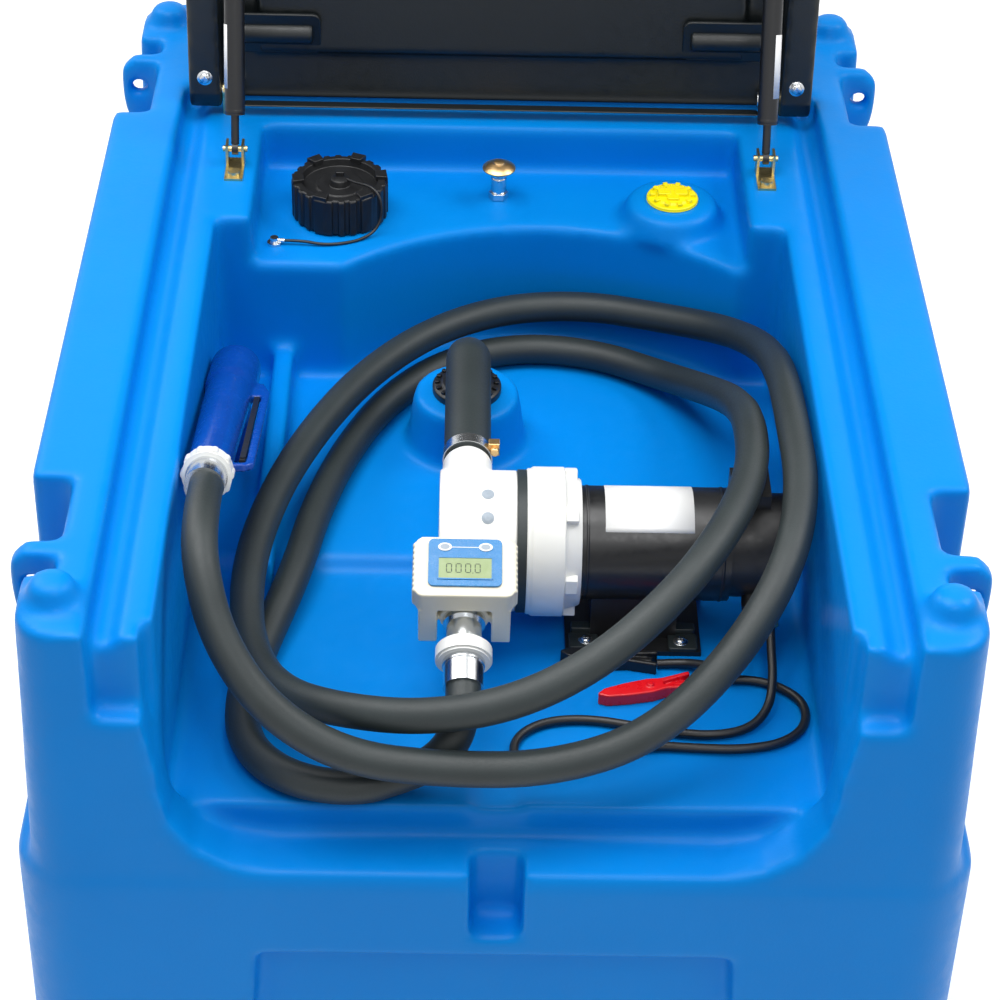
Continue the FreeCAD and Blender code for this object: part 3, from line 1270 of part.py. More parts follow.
def cords():
    """Hose, battery leads and leash, each through points laid by hand."""
    cord("delivery_hose", "hose_radius", [
        (-248, -300.23, 712.07), (-248, -342.37, 724.71), (-245.8, -403.5, 715), (-228.8, -445.2, 667.1),
        (-188.8, -478, 620.6), (-126, -493.6, 585.1), (-47, -495.6, 575.4), (40.8, -494.9, 576.6),
        (121.8, -479.4, 597.4), (188.2, -435.2, 642.5), (237.4, -364.2, 682.6), (257.5, -275.2, 698.8),
        (256.1, -175.8, 702.4), (256.6, -80, 686.5), (253.8, 17.8, 647.8), (228.2, 102.1, 612),
        (164.8, 149.8, 594.5), (88.6, 178.4, 589.4), (7, 170.5, 588.8), (-65.5, 125.8, 590),
        (-125.8, 50.5, 591), (-171.6, -44.8, 592.1), (-205.1, -150.2, 592.5), (-221.9, -253.2, 588.5),
        (-214.9, -347.2, 578.4), (-185, -413.5, 584.1), (-129.8, -450.2, 597), (-60.5, -470.6, 608.4),
        (12.5, -469.8, 624.9), (81, -447.1, 651.8), (141.8, -398.8, 681.8), (188.1, -328, 696),
        (217.9, -240.8, 693.2), (222.5, -147.8, 683.5), (216.6, -57.5, 640.8), (198.4, 30, 592.2),
        (161, 101.5, 558.9), (97.8, 144.2, 554.2), (19.2, 152.8, 554.4), (-52, 122, 554.5),
        (-106, 58.8, 554.5), (-143.6, -26.5, 554.3), (-168.2, -124.8, 556.5), (-181.1, -214.5, 554.3),
        (-205.1, -301.5, 543.5), (-219.8, -375.8, 543.4), (-211.4, -436.8, 543.5), (-174, -475.2, 543.5),
        (-118.2, -486.9, 543.1), (-80.6, -472.2, 546.1), (-53.8, -468.2, 557.1), (-36.8, -462.4, 576.2),
        (-30, -442.81, 592.14), (-30, -421.56, 597.83)])
    cord("battery_cable", "cable_radius", [
        (238, -296.16, 567), (238, -314.8, 556.2), (238.5, -340, 545.5), (234, -368, 536),
        (217, -391, 531.6), (186, -401, 531.6), (150, -398, 531.6), (116, -390, 531.6),
        (84, -383, 531.6), (56, -383, 531.6), (34, -390, 531.6), (18, -404, 531.6),
        (12, -423, 531.6), (20, -442, 531.6), (40, -451, 531.6), (62, -447, 531.6),
        (82, -436, 531.6), (104, -424, 531.6), (130, -414, 531.6), (168, -417, 531.6),
        (206, -418, 531.6), (242, -410, 531.6), (264, -388, 531.6), (266, -358, 531.6),
        (248, -337, 531.6), (222, -327, 531.6), (192.2, -328.8, 531.6), (169, -335, 531.6)])
    cord("battery_cable_short", "cable_radius", [
        (222, -296.16, 567), (222, -309.2, 559.5), (218.5, -323, 552.5), (207, -330.5, 547.5),
        (193, -327, 543.5), (178, -315, 538), (160, -306.2, 531.6), (140, -308, 531.6)])
    cord("cap_leash", "leash_radius", [
        (-151.17, 205.78, 714.5), (-143.4, 199.6, 714.5), (-133, 191.3, 717.3), (-124.4, 184.6, 717),
        (-118, 179.6, 710), (-116, 177, 698), (-117.5, 174.5, 686), (-124, 169, 676.5),
        (-137, 161, 672.3), (-155, 153.5, 672.2), (-175, 151, 672.4), (-193, 154, 674.5),
        (-211, 154, 674.5)])
    clip("clip_red", (169, -335), 15.02)
    clip("clip_black", (140, -308), -5.14)

tank_shell()
tank_top()
lid()
hinges()
struts()
fittings()
pump()
suction()
meter()
nozzle()
cords()


def check_and_write():
    doc.recompute()
    for obj in doc.Objects:
        assert "Invalid" not in obj.State and "Error" not in obj.State, obj.Name
    os.makedirs("parts", exist_ok=True)
    for obj in NODES:
        shape = obj.Shape
        assert not shape.isNull() and shape.isValid(), obj.Label
        assert shape.Volume > 0, obj.Label
        shape.exportStep("parts/%s.step" % obj.Label)
        print("%-20s %10.1f cm3 %2d solids" % (obj.Label, shape.Volume / 1000, len(shape.Solids)))


check_and_write()
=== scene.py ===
# Portable tank for diesel exhaust fluid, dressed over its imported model.
import math

import bmesh
import bpy
import numpy as np
from mathutils import Matrix, Vector


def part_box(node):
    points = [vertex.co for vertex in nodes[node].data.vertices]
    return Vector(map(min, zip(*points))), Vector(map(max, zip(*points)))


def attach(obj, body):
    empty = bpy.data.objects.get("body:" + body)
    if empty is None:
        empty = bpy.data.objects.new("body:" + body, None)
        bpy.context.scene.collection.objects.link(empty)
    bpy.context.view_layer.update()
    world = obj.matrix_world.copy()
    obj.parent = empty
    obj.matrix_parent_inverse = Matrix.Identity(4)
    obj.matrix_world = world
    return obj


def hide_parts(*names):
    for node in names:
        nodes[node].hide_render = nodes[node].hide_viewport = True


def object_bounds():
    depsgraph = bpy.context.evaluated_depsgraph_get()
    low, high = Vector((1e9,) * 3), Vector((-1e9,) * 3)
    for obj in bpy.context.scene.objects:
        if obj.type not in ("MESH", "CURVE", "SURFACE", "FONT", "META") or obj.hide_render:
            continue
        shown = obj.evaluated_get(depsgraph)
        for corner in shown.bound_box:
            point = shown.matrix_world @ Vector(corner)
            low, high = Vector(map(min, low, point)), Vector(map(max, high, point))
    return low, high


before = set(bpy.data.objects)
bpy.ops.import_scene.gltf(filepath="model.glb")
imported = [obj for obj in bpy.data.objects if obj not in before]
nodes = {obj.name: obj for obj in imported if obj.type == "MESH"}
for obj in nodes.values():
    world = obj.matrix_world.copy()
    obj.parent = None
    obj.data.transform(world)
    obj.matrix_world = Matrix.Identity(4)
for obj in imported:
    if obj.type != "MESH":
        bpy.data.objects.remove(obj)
cadBox = [list(corner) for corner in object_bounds()]
print("model loaded:", len(nodes), "nodes")


# plain helpers used by every piece
def linear(hexText):
    parts = [int(hexText[i:i + 2], 16) / 255 for i in (1, 3, 5)]
    curved = [c / 12.92 if c <= 0.04045 else ((c + 0.055) / 1.055) ** 2.4 for c in parts]
    return (*curved, 1.0)


def addNode(tree, kind, inputs=None, **settings):
    item = tree.nodes.new(kind)
    for name, setting in settings.items():
        setattr(item, name, setting)
    for name, given in (inputs or {}).items():
        if isinstance(given, bpy.types.NodeSocket):
            tree.links.new(given, item.inputs[name])
        else:
            item.inputs[name].default_value = given
    return item


def newFinish(name, colour, roughness, **sockets):
    finish = bpy.data.materials.new(name)
    finish.use_nodes = True
    tree = finish.node_tree
    shader = tree.nodes["Principled BSDF"]
    shader.inputs["Base Color"].default_value = linear(colour)
    shader.inputs["Roughness"].default_value = roughness
    for socket, given in sockets.items():
        shader.inputs[socket.replace("_", " ")].default_value = given
    place = addNode(tree, "ShaderNodeTexCoord").outputs["Object"]
    return finish, tree, shader, place


def meshPiece(name, build, finish, body):
    shape = bmesh.new()
    build(shape)
    mesh = bpy.data.meshes.new(name)
    shape.to_mesh(mesh)
    shape.free()
    mesh.materials.append(finish)
    piece = bpy.data.objects.new(name, mesh)
    bpy.context.scene.collection.objects.link(piece)
    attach(piece, body)
    return piece


def lathe(shape, profile, at, axis=(0, 0, 1), steps=48):
    # turns (radius, height) pairs about an axis
    turn = Vector((0, 0, 1)).rotation_difference(Vector(axis)).to_matrix().to_4x4()
    move = Matrix.Translation(Vector(at)) @ turn
    rings = []
    for radius, height in profile:
        if radius < 1e-6:
            rings.append([shape.verts.new(move @ Vector((0, 0, height)))] * steps)
            continue
        rings.append([shape.verts.new(move @ Vector((radius * math.cos(math.tau * i / steps),
                                                     radius * math.sin(math.tau * i / steps),
                                                     height))) for i in range(steps)])
    for low, high in zip(rings, rings[1:]):
        for i in range(steps):
            j = (i + 1) % steps
            corners = []
            for v in (low[i], low[j], high[j], high[i]):
                if v not in corners:
                    corners.append(v)
            if len(corners) > 2:
                shape.faces.new(corners).smooth = True


def plateOf(shape, outlinePoints, low, high, move=Matrix.Identity(4)):
    # a flat outline given thickness along its own Z
    base = [shape.verts.new(move @ Vector((x, y, low))) for x, y in outlinePoints]
    top = [shape.verts.new(move @ Vector((x, y, high))) for x, y in outlinePoints]
    shape.faces.new(base[::-1])
    shape.faces.new(top)
    count = len(base)
    for i in range(count):
        j = (i + 1) % count
        shape.faces.new((base[i], base[j], top[j], top[i]))


def roundedOutline(width, length, radius, steps=5, centre=(0, 0)):
    points = []
    for k, (sx, sy) in enumerate(((1, 1), (-1, 1), (-1, -1), (1, -1))):
        for i in range(steps + 1):
            a = math.pi / 2 * (k + i / steps)
            points.append((centre[0] + sx * (width / 2 - radius) + radius * math.cos(a),
                           centre[1] + sy * (length / 2 - radius) + radius * math.sin(a)))
    return points


def soften(piece, width, segments=3, angle=28):
    edge = piece.modifiers.new("softEdges", "BEVEL")
    edge.width = width
    edge.segments = segments
    edge.limit_method = "ANGLE"
    edge.angle_limit = math.radians(angle)


def spanOf(node):
    # where a solid of the model stands: middle in plan, then its bottom and top
    low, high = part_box(node)
    return (low[0] + high[0]) / 2, (low[1] + high[1]) / 2, low[2], high[2]


def axisOf(node):
    # left end, and the middle of the section, of a solid that lies along X
    low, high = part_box(node)
    return low[0], (low[1] + high[1]) / 2, (low[2] + high[2]) / 2


def shadeByAngle(piece, angle=40):
    for face in piece.data.polygons:
        face.use_smooth = True
    piece.data.set_sharp_from_angle(angle=math.radians(angle))


# lighting and camera
def placeCamera():
    photoView = {"lens": 97.2, "place": (-0.0383, -2.1124, 2.0729),
                 "yaw": 1.16, "pitch": 37.08, "roll": 1.64}
    yaw, pitch, roll = (math.radians(photoView[k]) for k in ("yaw", "pitch", "roll"))
    ahead = Vector((math.sin(yaw) * math.cos(pitch), math.cos(yaw) * math.cos(pitch),
                    -math.sin(pitch)))
    right = Vector((math.cos(yaw), -math.sin(yaw), 0))
    up = right.cross(ahead)
    tippedRight = math.cos(roll) * right + math.sin(roll) * up
    tippedUp = tippedRight.cross(ahead)
    data = bpy.data.cameras.new("photoCamera")
    data.lens = photoView["lens"]
    data.sensor_width = 36
    data.clip_end = 60
    camera = bpy.data.objects.new("photoCamera", data)
    bpy.context.scene.collection.objects.link(camera)
    turn = Matrix((tippedRight, tippedUp, -ahead)).transposed().to_4x4()
    camera.matrix_world = Matrix.Translation(Vector(photoView["place"])) @ turn
    bpy.context.scene.camera = camera


def lightScene():
    bpy.context.scene.view_settings.view_transform = "Standard"
    studio = {"world": 0.34, "lamps": [  # place, aim, side in metres, watts
        ((-0.5, -0.2, 3.4), (0, 0, 0.5), 2.0, 70),
        ((0.3, -1.7, 2.5), (0, -0.3, 0.6), 0.9, 10),
        ((1.9, 0.2, 2.9), (0, 0, 0.6), 1.4, 34),
        ((-2.0, 1.4, 2.8), (0, 0, 0.7), 1.3, 30)]}
    world = bpy.data.worlds.new("paleStudio")
    bpy.context.scene.world = world
    world.use_nodes = True
    tree = world.node_tree
    tree.nodes.clear()
    path = addNode(tree, "ShaderNodeLightPath")
    seenThrough = addNode(tree, "ShaderNodeMath", {0: path.outputs["Is Camera Ray"],
                                                   1: path.outputs["Is Transmission Ray"]},
                          operation="MAXIMUM")
    either = addNode(tree, "ShaderNodeMath", {0: seenThrough.outputs[0],
                                              1: path.outputs["Is Glossy Ray"]},
                     operation="MAXIMUM")
    fill = addNode(tree, "ShaderNodeBackground", {"Color": linear("#F2F6FF"),
                                                  "Strength": studio["world"]})
    seen = addNode(tree, "ShaderNodeBackground", {"Color": (1, 1, 1, 1), "Strength": 1.0})
    mixed = addNode(tree, "ShaderNodeMixShader", {0: either.outputs[0],
                                                  1: fill.outputs[0], 2: seen.outputs[0]})
    addNode(tree, "ShaderNodeOutputWorld", {"Surface": mixed.outputs[0]})
    for i, (place, aim, side, watts) in enumerate(studio["lamps"]):
        data = bpy.data.lights.new("softbox%d" % (i + 1), "AREA")
        data.size = side
        data.energy = watts
        lamp = bpy.data.objects.new(data.name, data)
        bpy.context.scene.collection.objects.link(lamp)
        lamp.location = place
        lamp.rotation_euler = (Vector(aim) - Vector(place)).to_track_quat("-Z", "Y").to_euler()


def layFloor():
    studio = {"floorGlow": 0.4, "floorRoughness": 0.75}
    finish, tree, shader, place = newFinish("paintedStudioFloor", "#F4F4F2",
                                             studio["floorRoughness"])
    path = addNode(tree, "ShaderNodeLightPath")
    blotch = addNode(tree, "ShaderNodeTexNoise", {"Vector": place, "Scale": 2.5})
    tone = addNode(tree, "ShaderNodeMix", {0: blotch.outputs["Fac"], 6: linear("#F1F1EF"),
                                           7: linear("#F6F6F5")}, data_type="RGBA")
    tree.links.new(tone.outputs[2], shader.inputs["Base Color"])
    seenThrough = addNode(tree, "ShaderNodeMath", {0: path.outputs["Is Camera Ray"],
                                                   1: path.outputs["Is Transmission Ray"]},
                          operation="MAXIMUM")
    either = addNode(tree, "ShaderNodeMath", {0: seenThrough.outputs[0],
                                              1: path.outputs["Is Glossy Ray"]},
                     operation="MAXIMUM")
    glow = addNode(tree, "ShaderNodeMath", {0: either.outputs[0], 1: studio["floorGlow"]},
                   operation="MULTIPLY")
    tree.links.new(glow.outputs[0], shader.inputs["Emission Strength"])
    shader.inputs["Emission Color"].default_value = (1, 1, 1, 1)
    mesh = bpy.data.meshes.new("studioFloor")
    mesh.from_pydata([(-30, -30, 0), (30, -30, 0), (30, 30, 0), (-30, 30, 0)], [], [(0, 1, 2, 3)])
    mesh.materials.append(finish)
    floor = bpy.data.objects.new("studioFloor", mesh)
    bpy.context.scene.collection.objects.link(floor)
    floor.location.z = cadBox[0][2] - 0.0005


placeCamera()
lightScene()
layFloor()
print("camera, lamps and floor placed")


# finishes, each named for the real material and how it was made
def moulded(name, light, dark, roughness, patch, grain, depth, **sockets):
    # moulded plastic: slow drift of colour, orange peel and fine pits that break the gloss
    finish, tree, shader, place = newFinish(name, light, roughness, **sockets)
    cloud = addNode(tree, "ShaderNodeTexNoise", {"Vector": place, "Scale": 1 / patch,
                                                 "Detail": 3.0})
    tint = addNode(tree, "ShaderNodeMix", {0: cloud.outputs["Fac"], 6: linear(dark),
                                           7: linear(light)}, data_type="RGBA")
    tree.links.new(tint.outputs[2], shader.inputs["Base Color"])
    rub = addNode(tree, "ShaderNodeTexNoise", {"Vector": place, "Scale": 0.2 / grain,
                                               "Detail": 6.0, "Roughness": 0.65})
    worn = addNode(tree, "ShaderNodeMapRange", {"Value": rub.outputs["Fac"], "From Min": 0.35,
                                                "From Max": 0.7, "To Min": roughness - 0.06,
                                                "To Max": roughness + 0.09})
    tree.links.new(worn.outputs[0], shader.inputs["Roughness"])
    peel = addNode(tree, "ShaderNodeTexNoise", {"Vector": place, "Scale": 1 / grain,
                                                "Detail": 2.0})
    pits = addNode(tree, "ShaderNodeTexVoronoi", {"Vector": place, "Scale": 2.2 / grain})
    height = addNode(tree, "ShaderNodeMath", {0: pits.outputs["Distance"], 1: 0.3,
                                              2: peel.outputs["Fac"]},
                     operation="MULTIPLY_ADD")
    relief = addNode(tree, "ShaderNodeBump", {"Height": height.outputs[0], "Strength": 0.5,
                                              "Distance": depth})
    tree.links.new(relief.outputs[0], shader.inputs["Normal"])
    return finish


def plated(name, light, dark, roughness, patch, scratch):
    # plated or turned metal: cloudy tone from the bath and fine scratches across the gloss
    finish, tree, shader, place = newFinish(name, light, roughness, Metallic=1.0)
    cloud = addNode(tree, "ShaderNodeTexNoise", {"Vector": place, "Scale": 1 / patch,
                                                 "Detail": 4.0})
    tint = addNode(tree, "ShaderNodeMix", {0: cloud.outputs["Fac"], 6: linear(dark),
                                           7: linear(light)}, data_type="RGBA")
    tree.links.new(tint.outputs[2], shader.inputs["Base Color"])
    drawn = addNode(tree, "ShaderNodeMapping", {"Vector": place, "Scale": (1.0, 14.0, 14.0)})
    lines = addNode(tree, "ShaderNodeTexNoise", {"Vector": drawn.outputs[0],
                                                 "Scale": 0.1 / scratch, "Detail": 4.0})
    worn = addNode(tree, "ShaderNodeMapRange", {"Value": lines.outputs["Fac"],
                                                "To Min": max(roughness - 0.08, 0.02),
                                                "To Max": roughness + 0.12})
    tree.links.new(worn.outputs[0], shader.inputs["Roughness"])
    relief = addNode(tree, "ShaderNodeBump", {"Height": lines.outputs["Fac"],
                                              "Strength": 0.25, "Distance": 0.0002})
    tree.links.new(relief.outputs[0], shader.inputs["Normal"])
    return finish


def extruded(name, light, dark, roughness, grain, depth, **sockets):
    # extruded rubber or PVC: matt bloom in soft blotches, fine talc specks and a fine skin
    finish, tree, shader, place = newFinish(name, light, roughness, **sockets)
    bloom = addNode(tree, "ShaderNodeTexNoise", {"Vector": place, "Scale": 22.0, "Detail": 5.0,
                                                 "Roughness": 0.6})
    tint = addNode(tree, "ShaderNodeMix", {0: bloom.outputs["Fac"], 6: linear(dark),
                                           7: linear(light)}, data_type="RGBA")
    tree.links.new(tint.outputs[2], shader.inputs["Base Color"])
    skin = addNode(tree, "ShaderNodeTexNoise", {"Vector": place, "Scale": 1 / grain,
                                                "Detail": 3.0, "Roughness": 0.7})
    worn = addNode(tree, "ShaderNodeMapRange", {"Value": skin.outputs["Fac"],
                                                "From Min": 0.3, "From Max": 0.7,
                                                "To Min": roughness - 0.08,
                                                "To Max": roughness + 0.1})
    tree.links.new(worn.outputs[0], shader.inputs["Roughness"])
    relief = addNode(tree, "ShaderNodeBump", {"Height": skin.outputs["Fac"],
                                              "Strength": 0.4, "Distance": depth})
    tree.links.new(relief.outputs[0], shader.inputs["Normal"])
    return finish


finishes = {
    # rotational-moulded polyethylene: waxy satin, 3 mm orange peel from the mould's wall
    "tank": moulded("rotoMouldedPolyethyleneBlue", "#008AE2", "#0080D6", 0.38, 0.18, 0.003,
                    0.00022, IOR=1.51, Specular_IOR_Level=0.14),
    # the lid is the same process in black: shows long soft reflections
    "lid": moulded("rotoMouldedPolyethyleneBlack", "#101719", "#0A1012", 0.4, 0.12, 0.0022,
                   0.00018, IOR=1.51),
    # injection-moulded polypropylene, black: tighter grain than the lid
    "blackPart": moulded("mouldedPolypropyleneBlack", "#1A1B1D", "#101113", 0.42, 0.05,
                         0.0011, 0.00012, IOR=1.49),
    # injection-moulded white polypropylene: bright, slightly translucent look, satin
    "whitePart": moulded("mouldedPolypropyleneWhite", "#F4F4F0", "#E9E9E3", 0.34, 0.05,
                         0.0012, 0.00006, IOR=1.49),
    # moulded ABS of the meter's case: warm cream, light spark-eroded grain
    "meterCase": moulded("mouldedAbsCream", "#EFE9D6", "#E3DCC4", 0.42, 0.04, 0.0009,
                         0.00008, IOR=1.54),
    # glossy polypropylene of the nozzle: deep blue with a clear shine
    "nozzle": moulded("mouldedPolypropyleneDeepBlue", "#0A4CB0", "#073B92", 0.24, 0.06,
                      0.002, 0.00005, IOR=1.49),
    # bright yellow moulded plug
    "yellowPlug": moulded("mouldedPolypropyleneYellow", "#FFF00A", "#FAE800", 0.4, 0.03,
                          0.0012, 0.00008, IOR=1.49),
    # red PVC sleeve of the battery clip, dipped: soft gloss
    "redSleeve": moulded("dippedPvcRed", "#F01420", "#DC0A18", 0.3, 0.02, 0.0018, 0.00008,
                         IOR=1.53),
    # steel with yellow passivated zinc: gold with a green and pink drift
    "zinc": plated("yellowPassivatedZinc", "#E2D2A0", "#B9A877", 0.28, 0.012, 0.0006),
    # bright nickel plate on the ferrules, tube and bolts
    "bright": plated("nickelPlatedSteel", "#E6E8EA", "#CBCFD2", 0.16, 0.02, 0.0005),
    # hard chrome of the strut's rod
    "chrome": plated("groundChromedSteel", "#DADDE0", "#C8CCD0", 0.1, 0.03, 0.0004),
    # turned brass, a little dull
    "brass": plated("turnedBrass", "#F0CF9A", "#D9AE74", 0.3, 0.01, 0.0005),
    # black enamel on the motor and the struts: sprayed, low sheen with fine dust
    "enamel": moulded("sprayedBlackEnamel", "#17181A", "#0F1012", 0.34, 0.05, 0.0014,
                      0.00005, IOR=1.52),
    # EPDM rubber of the hoses: matt, grey-green bloom
    "hoseRubber": extruded("extrudedEpdmRubber", "#2C3536", "#1C2324", 0.5, 0.0016, 0.0003,
                           IOR=1.48),
    # soft PVC of the battery leads
    "cableSheath": extruded("extrudedPvcBlack", "#1B1C1E", "#111213", 0.4, 0.001, 0.0001,
                            IOR=1.53),
    # screen-printed film of the meter's face: clear blue, glossy
    "film": moulded("printedPolyesterFilmBlue", "#0B7FC0", "#0873B0", 0.28, 0.02, 0.0012,
                    0.00002, IOR=1.57),
    # liquid crystal behind its window: flat grey-green
    "crystal": moulded("liquidCrystalGlass", "#8FA36A", "#84985F", 0.18, 0.01, 0.0012,
                       0.00001, IOR=1.5),
    # dark segments of the display
    "ink": moulded("printedInkDarkGreen", "#3E4C2E", "#35432A", 0.4, 0.004, 0.0006, 0.00001,
                   IOR=1.5),
    # rubber keys of the meter, grey
    "buttonGrey": moulded("mouldedSiliconeGrey", "#A9B4BE", "#98A3AE", 0.45, 0.004, 0.0006,
                          0.00002, IOR=1.43),
    # vinyl label paper, bare
    "label": moulded("printedVinylWhite", "#F3F3F1", "#E9E9E7", 0.4, 0.03, 0.0008, 0.00002,
                     IOR=1.5),
}
print("finishes made:", len(finishes))


# cords, along the same points as their solids
hoseRoute = [
    (-0.248, -0.30023, 0.71207), (-0.248, -0.34237, 0.72471), (-0.2458, -0.4035, 0.715),
    (-0.2288, -0.4452, 0.6671), (-0.1888, -0.478, 0.6206), (-0.126, -0.4936, 0.5851),
    (-0.047, -0.4956, 0.5754), (0.0408, -0.4949, 0.5766), (0.1218, -0.4794, 0.5974),
    (0.1882, -0.4352, 0.6425), (0.2374, -0.3642, 0.6826), (0.2575, -0.2752, 0.6988),
    (0.2561, -0.1758, 0.7024), (0.2566, -0.08, 0.6865), (0.2538, 0.0178, 0.6478),
    (0.2282, 0.1021, 0.612), (0.1648, 0.1498, 0.5945), (0.0886, 0.1784, 0.5894),
    (0.007, 0.1705, 0.5888), (-0.0655, 0.1258, 0.59), (-0.1258, 0.0505, 0.591),
    (-0.1716, -0.0448, 0.5921), (-0.2051, -0.1502, 0.5925), (-0.2219, -0.2532, 0.5885),
    (-0.2149, -0.3472, 0.5784), (-0.185, -0.4135, 0.5841), (-0.1298, -0.4502, 0.597),
    (-0.0605, -0.4706, 0.6084), (0.0125, -0.4698, 0.6249), (0.081, -0.4471, 0.6518),
    (0.1418, -0.3988, 0.6818), (0.1881, -0.328, 0.696), (0.2179, -0.2408, 0.6932),
    (0.2225, -0.1478, 0.6835), (0.2166, -0.0575, 0.6408), (0.1984, 0.03, 0.5922),
    (0.161, 0.1015, 0.5589), (0.0978, 0.1442, 0.5542), (0.0192, 0.1528, 0.5544),
    (-0.052, 0.122, 0.5545), (-0.106, 0.0588, 0.5545), (-0.1436, -0.0265, 0.5543),
    (-0.1682, -0.1248, 0.5565), (-0.1811, -0.2145, 0.5543), (-0.2051, -0.3015, 0.5435),
    (-0.2198, -0.3758, 0.5434), (-0.2114, -0.4368, 0.5435), (-0.174, -0.4752, 0.5435),
    (-0.1182, -0.4869, 0.5431), (-0.0806, -0.4722, 0.5461), (-0.0538, -0.4682, 0.5571),
    (-0.0368, -0.4624, 0.5762), (-0.03, -0.44281, 0.59214), (-0.03, -0.42156, 0.59783),
]
cableRoute = [
    (0.238, -0.29616, 0.567), (0.238, -0.3148, 0.5562), (0.2385, -0.34, 0.5455),
    (0.234, -0.368, 0.536), (0.217, -0.391, 0.5316), (0.186, -0.401, 0.5316),
    (0.15, -0.398, 0.5316), (0.116, -0.39, 0.5316), (0.084, -0.383, 0.5316),
    (0.056, -0.383, 0.5316), (0.034, -0.39, 0.5316), (0.018, -0.404, 0.5316),
    (0.012, -0.423, 0.5316), (0.02, -0.442, 0.5316), (0.04, -0.451, 0.5316),
    (0.062, -0.447, 0.5316), (0.082, -0.436, 0.5316), (0.104, -0.424, 0.5316),
    (0.13, -0.414, 0.5316), (0.168, -0.417, 0.5316), (0.206, -0.418, 0.5316),
    (0.242, -0.41, 0.5316), (0.264, -0.388, 0.5316), (0.266, -0.358, 0.5316),
    (0.248, -0.337, 0.5316), (0.222, -0.327, 0.5316), (0.1922, -0.3288, 0.5316),
    (0.169, -0.335, 0.5316),
]
shortLeadRoute = [
    (0.222, -0.29616, 0.567), (0.222, -0.3092, 0.5595), (0.2185, -0.323, 0.5525),
    (0.207, -0.3305, 0.5475), (0.193, -0.327, 0.5435), (0.178, -0.315, 0.538),
    (0.16, -0.3062, 0.5316), (0.14, -0.308, 0.5316),
]
leashRoute = [
    (-0.15117, 0.20578, 0.7145), (-0.1434, 0.1996, 0.7145), (-0.133, 0.1913, 0.7173),
    (-0.1244, 0.1846, 0.717), (-0.118, 0.1796, 0.71), (-0.116, 0.177, 0.698),
    (-0.1175, 0.1745, 0.686), (-0.124, 0.169, 0.6765), (-0.137, 0.161, 0.6723),
    (-0.155, 0.1535, 0.6722), (-0.175, 0.151, 0.6724), (-0.193, 0.154, 0.6745),
    (-0.211, 0.154, 0.6745),
]


def layCord(name, route, radius, finish, steps=8):
    data = bpy.data.curves.new(name, "CURVE")
    data.dimensions = "3D"
    data.bevel_depth = radius
    data.bevel_resolution = 5
    data.use_fill_caps = True
    line = data.splines.new("NURBS")
    line.points.add(len(route) - 1)
    for point, place in zip(line.points, route):
        point.co = (*place, 1.0)
    line.order_u = 3
    line.use_endpoint_u = True
    line.resolution_u = steps
    line.use_smooth = True
    data.materials.append(finish)
    piece = bpy.data.objects.new(name, data)
    bpy.context.scene.collection.objects.link(piece)
    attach(piece, "tank")
    return piece


def layCords():
    hose = layCord("deliveryHose", hoseRoute, 0.015, finishes["hoseRubber"], 10)
    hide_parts("delivery_hose")
    cable = layCord("batteryCable", cableRoute, 0.004, finishes["cableSheath"])
    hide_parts("battery_cable")
    short = layCord("shortBatteryLead", shortLeadRoute, 0.004, finishes["cableSheath"])
    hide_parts("battery_cable_short")
    leash = layCord("capLeash", leashRoute, 0.0015, finishes["cableSheath"])
    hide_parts("cap_leash")


layCords()
print("cords laid")


def baked(piece):
    # the piece's modifiers worked into its mesh
    bpy.context.view_layer.update()
    graph = bpy.context.evaluated_depsgraph_get()
    mesh = bpy.data.meshes.new_from_object(piece.evaluated_get(graph))
    plain = piece.data
    piece.modifiers.clear()
    piece.data = mesh
    bpy.data.meshes.remove(plain)
    return mesh


def castMoulding(name, sources, finish, body, grid, rounds, triangles):
    # one hollow casting: its solids merged on a fine grid, every edge relaxed into a rounding
    shape = bmesh.new()
    for source in sources:
        shape.from_mesh(nodes[source].data)
    mesh = bpy.data.meshes.new(name)
    shape.to_mesh(mesh)
    shape.free()
    piece = bpy.data.objects.new(name, mesh)
    bpy.context.scene.collection.objects.link(piece)
    merge = piece.modifiers.new("merge", "REMESH")
    merge.mode = "VOXEL"
    merge.voxel_size = grid
    merge.use_smooth_shade = True
    relax = piece.modifiers.new("relax", "SMOOTH")
    relax.factor = 0.5
    relax.iterations = rounds
    made = 2 * len(baked(piece).polygons)
    if made > triangles:
        thin = piece.modifiers.new("thin", "DECIMATE")
        thin.ratio = triangles / made
        baked(piece)
    corners = [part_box(source) for source in sources]
    low = np.min([c[0] for c in corners], axis=0)
    high = np.max([c[1] for c in corners], axis=0)
    places = np.empty(3 * len(piece.data.vertices))
    piece.data.vertices.foreach_get("co", places)
    places = np.clip(places.reshape(-1, 3), low, high)
    piece.data.vertices.foreach_set("co", places.ravel())
    piece.data.materials.clear()
    piece.data.materials.append(finish)
    piece.data.shade_smooth()
    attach(piece, body)
    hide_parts(*sources)
    print(name, "cast:", made, "triangles before thinning")


